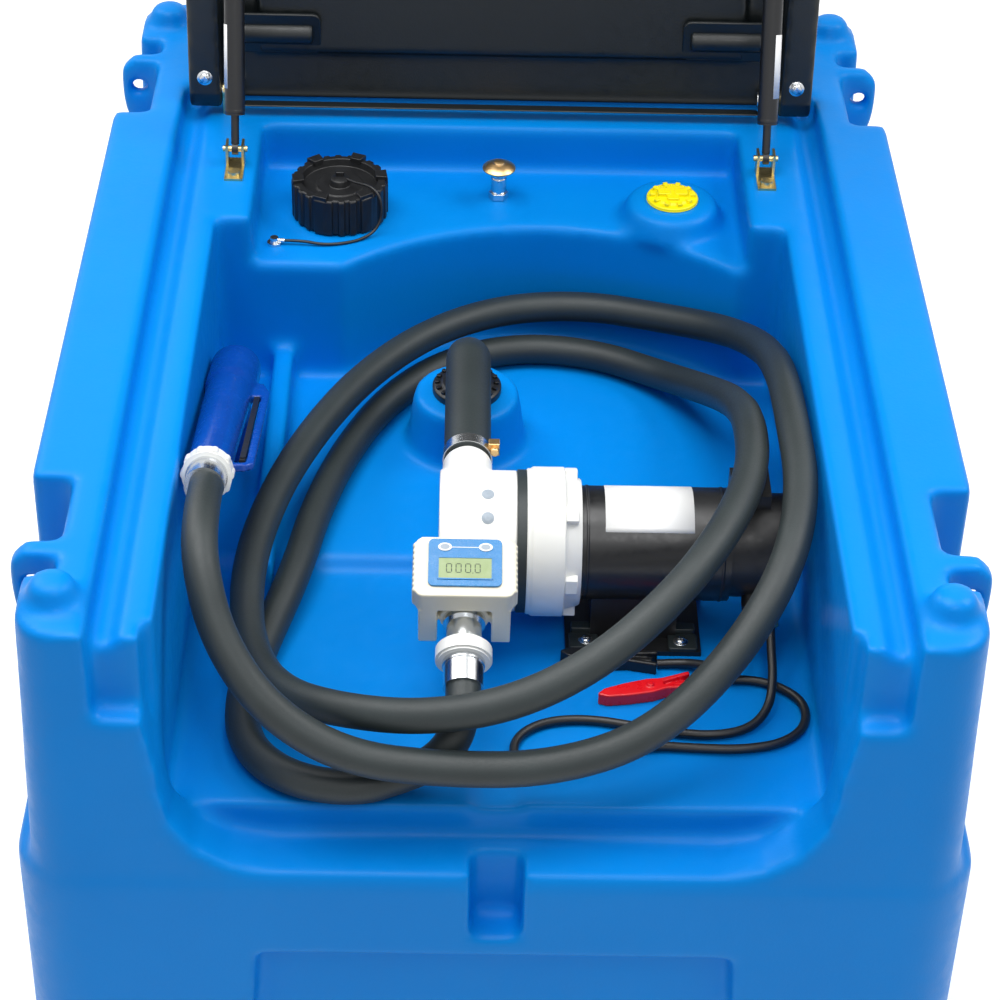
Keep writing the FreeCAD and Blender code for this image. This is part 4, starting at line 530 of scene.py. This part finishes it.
def dressMouldings():
    # grid in metres, rounds of relaxing and the triangles left after thinning
    castings = {
        "tankMoulding": {"solids": ["tank_base", "tank_shell", "tank_top", "tank_deck",
                                    "tank_rail_left", "tank_rail_right"],
                         "finish": "tank", "slot": "blue_moulding", "body": "tank",
                         "grid": 0.0045, "rounds": 13, "triangles": 180000},
        "lidMoulding": {"solids": ["lid"], "finish": "lid", "slot": "black_moulding",
                        "body": "lid_body", "grid": 0.0032, "rounds": 5,
                        "triangles": 90000},
        "pumpHead": {"solids": ["pump_head"], "finish": "whitePart", "slot": "white_plastic",
                     "body": "tank", "grid": 0.0014, "rounds": 5, "triangles": 50000},
        "meterCase": {"solids": ["meter_body"], "finish": "meterCase",
                      "slot": "white_plastic", "body": "tank", "grid": 0.0011, "rounds": 2,
                      "triangles": 60000},
        "nozzleBody": {"solids": ["nozzle_body", "nozzle_spout"], "finish": "nozzle",
                       "slot": "nozzle_plastic", "body": "tank", "grid": 0.0015,
                       "rounds": 6, "triangles": 60000},
        "redClip": {"solids": ["clip_red"], "finish": "redSleeve", "slot": "red_plastic",
                    "body": "tank", "grid": 0.0008, "rounds": 4, "triangles": 20000},
        "blackClip": {"solids": ["clip_black"], "finish": "blackPart",
                      "slot": "black_moulding", "body": "tank", "grid": 0.0008,
                      "rounds": 4, "triangles": 20000},
    }
    for name, facts in castings.items():
        castMoulding(name, facts["solids"], finishes[facts["finish"]],
                     facts["body"], facts["grid"], facts["rounds"], facts["triangles"])


dressMouldings()
print("mouldings cast")


def studRings(shape):
    # raised ring moulded round each corner stud
    stud = {"x": 0.351, "y": 0.484, "radius": 0.0245, "low": 0.7392, "high": 0.7414}
    for x in (-stud["x"], stud["x"]):
        for y in (-stud["y"], stud["y"]):
            r = stud["radius"]
            lathe(shape, [(r - 0.0045, stud["low"]), (r - 0.003, stud["high"] - 0.0006),
                          (r - 0.0015, stud["high"]), (r, stud["high"] - 0.0006),
                          (r + 0.002, stud["low"])], (x, y, 0), steps=64)


meshPiece("studRings", studRings, finishes["tank"], "tank")


def fillerCap(shape):
    # screw cap: fluted skirt with six grip lugs, dished top and a tab on its middle
    cap = {"rimHeight": 0.0387, "dishHeight": 0.0312, "radius": 0.0462, "flute": 0.0012,
           "lug": 0.0478, "lugShare": 0.24, "flutes": 24, "lugs": 6, "steps": 240}
    x, y, bottom, top = spanOf("filler_cap")
    low, rim, dish = bottom + 0.0001, bottom + cap["rimHeight"], bottom + cap["dishHeight"]
    steps = cap["steps"]

    def ring(height, inset=0.0, fluted=True):
        verts = []
        for i in range(steps):
            turn = math.tau * i / steps
            radius = cap["radius"] - inset
            if fluted:
                radius += cap["flute"] * math.copysign(1, math.sin(cap["flutes"] * turn))
                spread = (turn * cap["lugs"] / math.tau) % 1
                if spread < cap["lugShare"]:
                    radius = cap["lug"] - inset
            verts.append(shape.verts.new((x + radius * math.cos(turn),
                                          y + radius * math.sin(turn), height)))
        return verts

    rings = [ring(low, 0.001), ring(low + 0.001), ring(rim - 0.0015), ring(rim, 0.0014)]
    rings += [ring(height, inset, False) for height, inset in (
        (rim, 0.008), (dish, 0.0098), (dish, 0.022), (dish + 0.0012, 0.0232),
        (dish + 0.0012, 0.0355), (dish + 0.0075, 0.0372), (dish + 0.0085, 0.0392))]
    for below, above in zip(rings, rings[1:]):
        for i in range(steps):
            j = (i + 1) % steps
            shape.faces.new((below[i], below[j], above[j], above[i]))
    shape.faces.new(rings[0][::-1])
    shape.faces.new(rings[-1])
    plateOf(shape, roundedOutline(0.0085, 0.006, 0.0015, centre=(x, y + 0.004)),
            dish + 0.001, top - 0.0002)
    lug = [(0.0355, -0.0055), (0.0468, -0.0075), (0.0468, 0.0075), (0.0355, 0.0055)]
    for k in range(cap["lugs"]):
        turn = math.tau * (k + cap["lugShare"] / 2) / cap["lugs"]
        move = Matrix.Translation((x, y, 0)) @ Matrix.Rotation(turn, 4, "Z")
        plateOf(shape, lug, rim - 0.002, rim + 0.0035, move)


def ventStem(shape):
    # hexagon at the foot, turned neck with a groove
    at = spanOf("vent_stem")[:3]
    hexagon = [(0.01 * math.cos(math.tau * i / 6), 0.009 * math.sin(math.tau * i / 6))
               for i in range(6)]
    plateOf(shape, hexagon, 0.0002, 0.007, Matrix.Translation(at))
    lathe(shape, [(0, 0.0065), (0.0072, 0.0065), (0.0072, 0.0085), (0.0078, 0.0095),
                  (0.0078, 0.0235), (0.0070, 0.0242), (0.0070, 0.0252), (0.0078, 0.026),
                  (0.0078, 0.0295), (0.0066, 0.03), (0, 0.03)], at)


def ventCap(shape):
    # turned mushroom: a cone below, a shallow dome and a flat nub on top
    lathe(shape, [(0, 0.0002), (0.0075, 0.0002), (0.0085, 0.0008), (0.0158, 0.0032),
                  (0.0166, 0.0038), (0.0166, 0.0048), (0.0158, 0.0056), (0.0125, 0.0078),
                  (0.0085, 0.0094), (0.0062, 0.01), (0.0058, 0.0112), (0.0048, 0.0118),
                  (0, 0.0119)], spanOf("vent_cap")[:3])


def levelPlug(shape):
    # yellow plug: thin flange and a notched grip bar
    plug = {"teeth": 10, "toothAt": 0.0195, "gripOffset": 0.0085}
    at = spanOf("level_plug")[:3]
    move = Matrix.Translation(at)
    lathe(shape, [(0, 0.0001), (0.0255, 0.0001), (0.0258, 0.0006), (0.0258, 0.0028),
                  (0.025, 0.0038), (0.019, 0.0042), (0.018, 0.0055), (0.0165, 0.0062),
                  (0, 0.0062)], at)
    tooth = roundedOutline(0.006, 0.005, 0.0012, centre=(plug["toothAt"], 0))
    for k in range(plug["teeth"]):
        turn = Matrix.Rotation(math.tau * k / plug["teeth"], 4, "Z")
        plateOf(shape, tooth, 0.004, 0.0075, move @ turn)
    for x in (-plug["gripOffset"], plug["gripOffset"]):
        plateOf(shape, roundedOutline(0.013, 0.011, 0.002, centre=(x, 0)), 0.006, 0.0099, move)
    plateOf(shape, roundedOutline(0.012, 0.026, 0.002), 0.006, 0.0088, move)


def suctionCollar(shape):
    # black screw ring round the suction elbow, knurled in broad flutes
    collar = {"flutes": 18, "fluteAt": 0.0285}
    at = spanOf("suction_fitting")[:3]
    lathe(shape, [(0, 0.0002), (0.0325, 0.0002), (0.0329, 0.0008), (0.0329, 0.0068),
                  (0.031, 0.0085), (0.0265, 0.0092), (0.0255, 0.0102), (0.0235, 0.0118),
                  (0, 0.0118)], at)
    flute = roundedOutline(0.0045, 0.004, 0.001, centre=(collar["fluteAt"], 0))
    for k in range(collar["flutes"]):
        turn = Matrix.Rotation(math.tau * k / collar["flutes"], 4, "Z")
        plateOf(shape, flute, 0.0075, 0.0112, Matrix.Translation(at) @ turn)


def flangeRing(shape):
    # pump flange about the motor's axis: rims, a step and a cone to the motor
    lathe(shape, [(0, 0.0001), (0.0632, 0.0001), (0.0642, 0.0012), (0.0642, 0.0035),
                  (0.0652, 0.0048), (0.0658, 0.006), (0.0658, 0.0325), (0.0648, 0.0335),
                  (0.0600, 0.0338), (0.0592, 0.0345), (0.0560, 0.0465), (0.0548, 0.0478),
                  (0, 0.0478)], axisOf("pump_flange"), (1, 0, 0), 96)


def screwHead(shape, at, facing, radius, height, washer):
    # low domed head with a cross on it, and a washer under it
    turn = Vector((0, 0, 1)).rotation_difference(Vector(facing)).to_matrix().to_4x4()
    move = Matrix.Translation(Vector(at)) @ turn
    lathe(shape, [(0, 0), (washer, 0), (washer, 0.0008), (washer - 0.0003, 0.0011),
                  (0, 0.0011)], at, facing, 32)
    lathe(shape, [(0, 0), (radius, 0), (radius, height * 0.55), (radius * 0.82, height * 0.85),
                  (radius * 0.5, height), (0, height)], at, facing, 32)
    for turnBy in (0, math.pi / 2):
        plateOf(shape, roundedOutline(radius * 1.1, radius * 0.22, radius * 0.1),
                height * 0.9, height * 1.06, move @ Matrix.Rotation(turnBy, 4, "Z"))


def dressFittings():
    swaps = [("fillerCap", fillerCap, "blackPart", "black_moulding", ["filler_cap"], 0.0006),
             ("ventStem", ventStem, "bright", "bright_steel", ["vent_stem"], 0.0003),
             ("ventCap", ventCap, "brass", "brass", ["vent_cap"], 0),
             ("levelPlug", levelPlug, "yellowPlug", "yellow_plastic", ["level_plug"], 0.0006),
             ("suctionCollar", suctionCollar, "blackPart", "black_moulding",
              ["suction_fitting"], 0.0004),
             ("flangeRing", flangeRing, "whitePart", "white_plastic", ["pump_flange"], 0)]
    for name, build, finish, slotName, replaced, edge in swaps:
        piece = meshPiece(name, build, finishes[finish], "tank")
        if edge:
            soften(piece, edge, 2, 35)
        shadeByAngle(piece)
        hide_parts(*replaced)


dressFittings()
print("cap, vent, plug, collar and flange dressed")


def curvedLabel(shape, at, axis, radius, start, end, low, high, steps=16):
    # a bare label wrapped on a tube, from one angle to another about its axis
    turn = Vector((0, 0, 1)).rotation_difference(Vector(axis)).to_matrix().to_4x4()
    move = Matrix.Translation(Vector(at)) @ turn
    grid = []
    for i in range(steps + 1):
        a = math.radians(start + (end - start) * i / steps)
        for r in (radius, radius + 0.0002):
            for z in (low, high):
                grid.append(shape.verts.new(move @ Vector((r * math.cos(a), r * math.sin(a), z))))
    for i in range(steps):
        a, b = 4 * i, 4 * i + 4
        for p, q in ((0, 1), (1, 3), (3, 2), (2, 0)):
            shape.faces.new((grid[a + p], grid[b + p], grid[b + q], grid[a + q])).smooth = True
    shape.faces.new((grid[0], grid[1], grid[3], grid[2]))
    shape.faces.new((grid[-4], grid[-2], grid[-1], grid[-3]))


def dressPump():
    motor = {"y": -0.239, "z": 0.612, "label": (143, 222), "labelStart": 0.091,
             "labelLength": 0.077, "labelRadius": 0.05005, "bands": (0.0745, 0.1925),
             "headRadius": 0.0612, "headX": -0.011, "footScrewX": (0.078, 0.162),
             "footPadX": (0.076, 0.164), "flangeX": 0.023, "lugs": 6}

    def headScrews(shape):
        for angle in (12, 34):
            a = math.radians(angle)
            normal = (0, -math.sin(a), math.cos(a))
            at = (motor["headX"], motor["y"] + motor["headRadius"] * normal[1],
                  motor["z"] + motor["headRadius"] * normal[2])
            screwHead(shape, at, normal, 0.0042, 0.0016, 0.0055)
    meshPiece("headScrews", headScrews, finishes["buttonGrey"], "tank")

    def motorLabel(shape):
        curvedLabel(shape, (motor["labelStart"], motor["y"], motor["z"]), (1, 0, 0),
                    motor["labelRadius"], *motor["label"], 0, motor["labelLength"])
    meshPiece("motorLabel", motorLabel, finishes["label"], "tank")

    def motorBands(shape):
        # rolled end of the can and the seam of the end shield
        for start in motor["bands"]:
            lathe(shape, [(0.0498, 0), (0.0506, 0.0004), (0.0506, 0.0026), (0.0498, 0.003)],
                  (start, motor["y"], motor["z"]), (1, 0, 0), 72)
    meshPiece("motorBands", motorBands, finishes["enamel"], "tank")

    def footScrews(shape):
        for x in motor["footScrewX"]:
            screwHead(shape, (x, -0.2815, 0.5351), (0, 0, 1), 0.0046, 0.0035, 0.0066)
    meshPiece("footScrews", footScrews, finishes["bright"], "tank")

    def footPads(shape):
        # rubber pads pressed over the bracket's corners
        for x in motor["footPadX"]:
            plateOf(shape, roundedOutline(0.026, 0.021, 0.003, centre=(x, -0.2810)),
                    0.5305, 0.5352)
            plateOf(shape, roundedOutline(0.022, 0.010, 0.002, centre=(x, -0.2665)),
                    0.5305, 0.5405)
    pads = meshPiece("footPads", footPads, finishes["hoseRubber"], "tank")
    soften(pads, 0.0008, 2)
    shadeByAngle(pads)

    def flangeLugs(shape):
        # small feet moulded round the rim of the flange
        centre = Matrix.Translation((motor["flangeX"], motor["y"], motor["z"]))
        lug = [(0.0335, -0.0075), (0.0445, -0.0075), (0.0445, 0.0075), (0.0335, 0.0075)]
        for k in range(motor["lugs"]):
            turn = Matrix.Rotation(math.tau * (k + 0.5) / motor["lugs"], 4, "X")
            plateOf(shape, lug, 0.052, 0.0648, centre @ turn)
    lugs = meshPiece("flangeLugs", flangeLugs, finishes["whitePart"], "tank")
    soften(lugs, 0.001, 2)
    shadeByAngle(lugs)

    def clampWorm(shape):
        # worm housing and slotted screw at the right of the clamp band
        plateOf(shape, roundedOutline(0.010, 0.009, 0.001, centre=(-0.0055, -0.167)),
                0.655, 0.6675)
        lathe(shape, [(0, 0), (0.0042, 0), (0.0042, 0.004), (0.0036, 0.005), (0, 0.005)],
              (-0.0050, -0.1715, 0.6612), (0, -1, 0), 24)
    worm = meshPiece("clampWorm", clampWorm, finishes["brass"], "tank")
    soften(worm, 0.0005, 2)
    shadeByAngle(worm)


dressPump()
print("pump dressed")


def dressMeter():
    meter = {"at": (-0.030, -0.334, 0.642), "tilt": 15, "face": 0.023}
    lean = Matrix.Rotation(math.radians(meter["tilt"]), 4, "X")
    tipped = Matrix.Translation(Vector(meter["at"])) @ lean
    top = meter["face"]

    def fins(shape):
        # fine grip fins along both sides of the case
        for side in (-1, 1):
            for k in range(9):
                y = -0.023 + 0.046 * k / 8
                plateOf(shape, roundedOutline(0.0034, 0.0026, 0.0012, 4, (side * 0.0421, y)),
                        0.0015, 0.0195, tipped)
    meshPiece("meterFins", fins, finishes["meterCase"], "tank")

    def film(shape):
        plateOf(shape, roundedOutline(0.062, 0.049, 0.005, centre=(0, 0.003)), 0.0212, top, tipped)
    face = meshPiece("meterFilm", film, finishes["film"], "tank")
    soften(face, 0.0004, 2)
    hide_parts("meter_face")

    def screenFrame(shape):
        outer = roundedOutline(0.047, 0.0235, 0.001, 3, (0, -0.0035))
        inner = roundedOutline(0.0445, 0.0210, 0.0006, 3, (0, -0.0035))
        rings = [[shape.verts.new(tipped @ Vector((x, y, z))) for x, y in line]
                 for line, z in ((outer, top - 0.0002), (outer, top + 0.0007),
                                 (inner, top + 0.0007), (inner, top - 0.0002))]
        count = len(outer)
        for a, b in zip(rings, rings[1:]):
            for i in range(count):
                shape.faces.new((a[i], a[(i + 1) % count], b[(i + 1) % count], b[i]))
    meshPiece("screenFrame", screenFrame, finishes["film"], "tank")

    def screen(shape):
        plateOf(shape, roundedOutline(0.0446, 0.0211, 0.0006, 3, (0, -0.0035)), top - 0.0004,
                top + 0.0003, tipped)
    meshPiece("meterScreen", screen, finishes["crystal"], "tank")

    def digits(shape):
        # four plain noughts and a point, drawn in straight segments
        nought = ((0, 0.0045, 0.0034, 0.0009), (0, -0.0045, 0.0034, 0.0009),
                  (-0.0021, 0.0022, 0.0009, 0.0036), (0.0021, 0.0022, 0.0009, 0.0036),
                  (-0.0021, -0.0022, 0.0009, 0.0036), (0.0021, -0.0022, 0.0009, 0.0036))
        for x in (-0.0135, -0.0055, 0.0025, 0.0105):
            for dx, dy, w, h in nought:
                plateOf(shape, roundedOutline(w, h, 0.0003, 1, (x + dx, -0.0035 + dy)),
                        top + 0.0002, top + 0.0004, tipped)
        plateOf(shape, roundedOutline(0.001, 0.001, 0.0003, 1, (0.0065, -0.0085)),
                top + 0.0002, top + 0.0004, tipped)
    meshPiece("meterDigits", digits, finishes["ink"], "tank")

    def buttons(shape):
        for x in (-0.0172, 0.0172):
            outline = [(x + 0.0058 * math.cos(math.tau * i / 32),
                        0.0185 + 0.0042 * math.sin(math.tau * i / 32)) for i in range(32)]
            plateOf(shape, outline, top - 0.0002, top + 0.0008, tipped)
        plateOf(shape, roundedOutline(0.0235, 0.0007, 0.0003, 1, (0, 0.0185)), top - 0.0002,
                top + 0.0002, tipped)
    pads = meshPiece("meterButtons", buttons, finishes["whitePart"], "tank")
    soften(pads, 0.0003, 2)

    def buttonMarks(shape):
        for x in (-0.0172, 0.0172):
            outline = [(x + 0.0040 * math.cos(math.tau * i / 32),
                        0.0185 + 0.0027 * math.sin(math.tau * i / 32)) for i in range(32)]
            plateOf(shape, outline, top + 0.0006, top + 0.001, tipped)
    meshPiece("buttonMarks", buttonMarks, finishes["buttonGrey"], "tank")


dressMeter()
print("meter dressed")


def dressStruts():
    strut = {"x": 0.262, "foot": (0.221, 0.738), "collars": ((0.0345, 0.006), (0.209, 0.005)),
             "labelStart": 0.060, "labelLength": 0.062, "labelRadius": 0.01004}
    way = Vector((0, 0.1464, 0.3850)).normalized()
    for side, tag in ((-1, "Left"), (1, "Right")):
        base = Vector((side * strut["x"], *strut["foot"]))

        def collars(shape):
            for at, width in strut["collars"]:
                lathe(shape, [(0.0088, 0), (0.0099, 0.0006), (0.0101, 0.0012),
                              (0.0101, width - 0.0012), (0.0099, width - 0.0006),
                              (0.0088, width)], base + way * at, way, 32)
        meshPiece("strutCollars" + tag, collars, finishes["enamel"],
                  "strut_tube_%s_body" % tag.lower())

        def label(shape):
            start, end = (150, 230) if side < 0 else (290, 350)
            curvedLabel(shape, base + way * strut["labelStart"], way, strut["labelRadius"],
                        start, end, 0, strut["labelLength"])
        meshPiece("strutLabel" + tag, label, finishes["label"],
                  "strut_tube_%s_body" % tag.lower())


dressStruts()
print("struts dressed")


def dressLid():
    lid = {"boltX": 0.2985, "boltFace": 0.3132, "boltZ": 0.766, "barrelX": 0.226,
           "barrelZ": 0.806, "barrelLength": 0.072, "barrelRadius": 0.011, "face": 0.3376}

    def bolts(shape):
        for side in (-1, 1):
            screwHead(shape, (side * lid["boltX"], lid["boltFace"], lid["boltZ"]),
                      (0, -1, 0.12), 0.0052, 0.0036, 0.0078)
    meshPiece("lidBolts", bolts, finishes["bright"], "lid_body")

    def barrels(shape):
        # half-round housings of the hinge pins, one on each side of the lid's inner face
        for side in (-1, 1):
            start = side * lid["barrelX"] - lid["barrelLength"] / 2
            rim = lid["barrelRadius"]
            lathe(shape, [(0, 0), (rim - 0.002, 0), (rim, 0.002),
                          (rim, lid["barrelLength"] - 0.002),
                          (rim - 0.002, lid["barrelLength"]), (0, lid["barrelLength"])],
                  (start, lid["face"] - 0.001, lid["barrelZ"]), (1, 0, 0), 40)
            plateOf(shape, roundedOutline(0.088, 0.046, 0.008, centre=(side * lid["barrelX"], 0)),
                    -0.0015, 0.0025,
                    Matrix.Translation((0, lid["face"] - 0.0008, lid["barrelZ"])) @
                    Matrix.Rotation(math.radians(97), 4, "X"))
    piece = meshPiece("hingeHousings", barrels, finishes["lid"], "lid_body")
    soften(piece, 0.0012, 3)
    shadeByAngle(piece)


dressLid()
print("lid dressed")


def dressNodes():
    worn = {"blackPart": "motor_cap motor_foot nozzle_lever filler_neck",
            "zinc": "strut_foot_left strut_foot_right lid_hanger_left lid_hanger_right "
                    "hinge_post_left hinge_post_right",
            "bright": "meter_outlet outlet_ferrule nozzle_ferrule leash_screw hose_clamp "
                      "hinge_bolt_left hinge_bolt_right",
            "chrome": "strut_rod_left strut_rod_right",
            "enamel": "motor_body strut_tube_left strut_tube_right",
            "brass": "cable_gland_near cable_gland_far",
            "whitePart": "outlet_nut nozzle_nut",
            "hoseRubber": "pump_gasket suction_hose"}
    for finish, names in worn.items():
        for name in names.split():
            mesh = nodes[name].data
            mesh.materials.clear()
            mesh.materials.append(finishes[finish])
            shadeByAngle(nodes[name], 35)
            soften(nodes[name], 0.0007, 2, 35)


dressNodes()
print("plain parts finished")
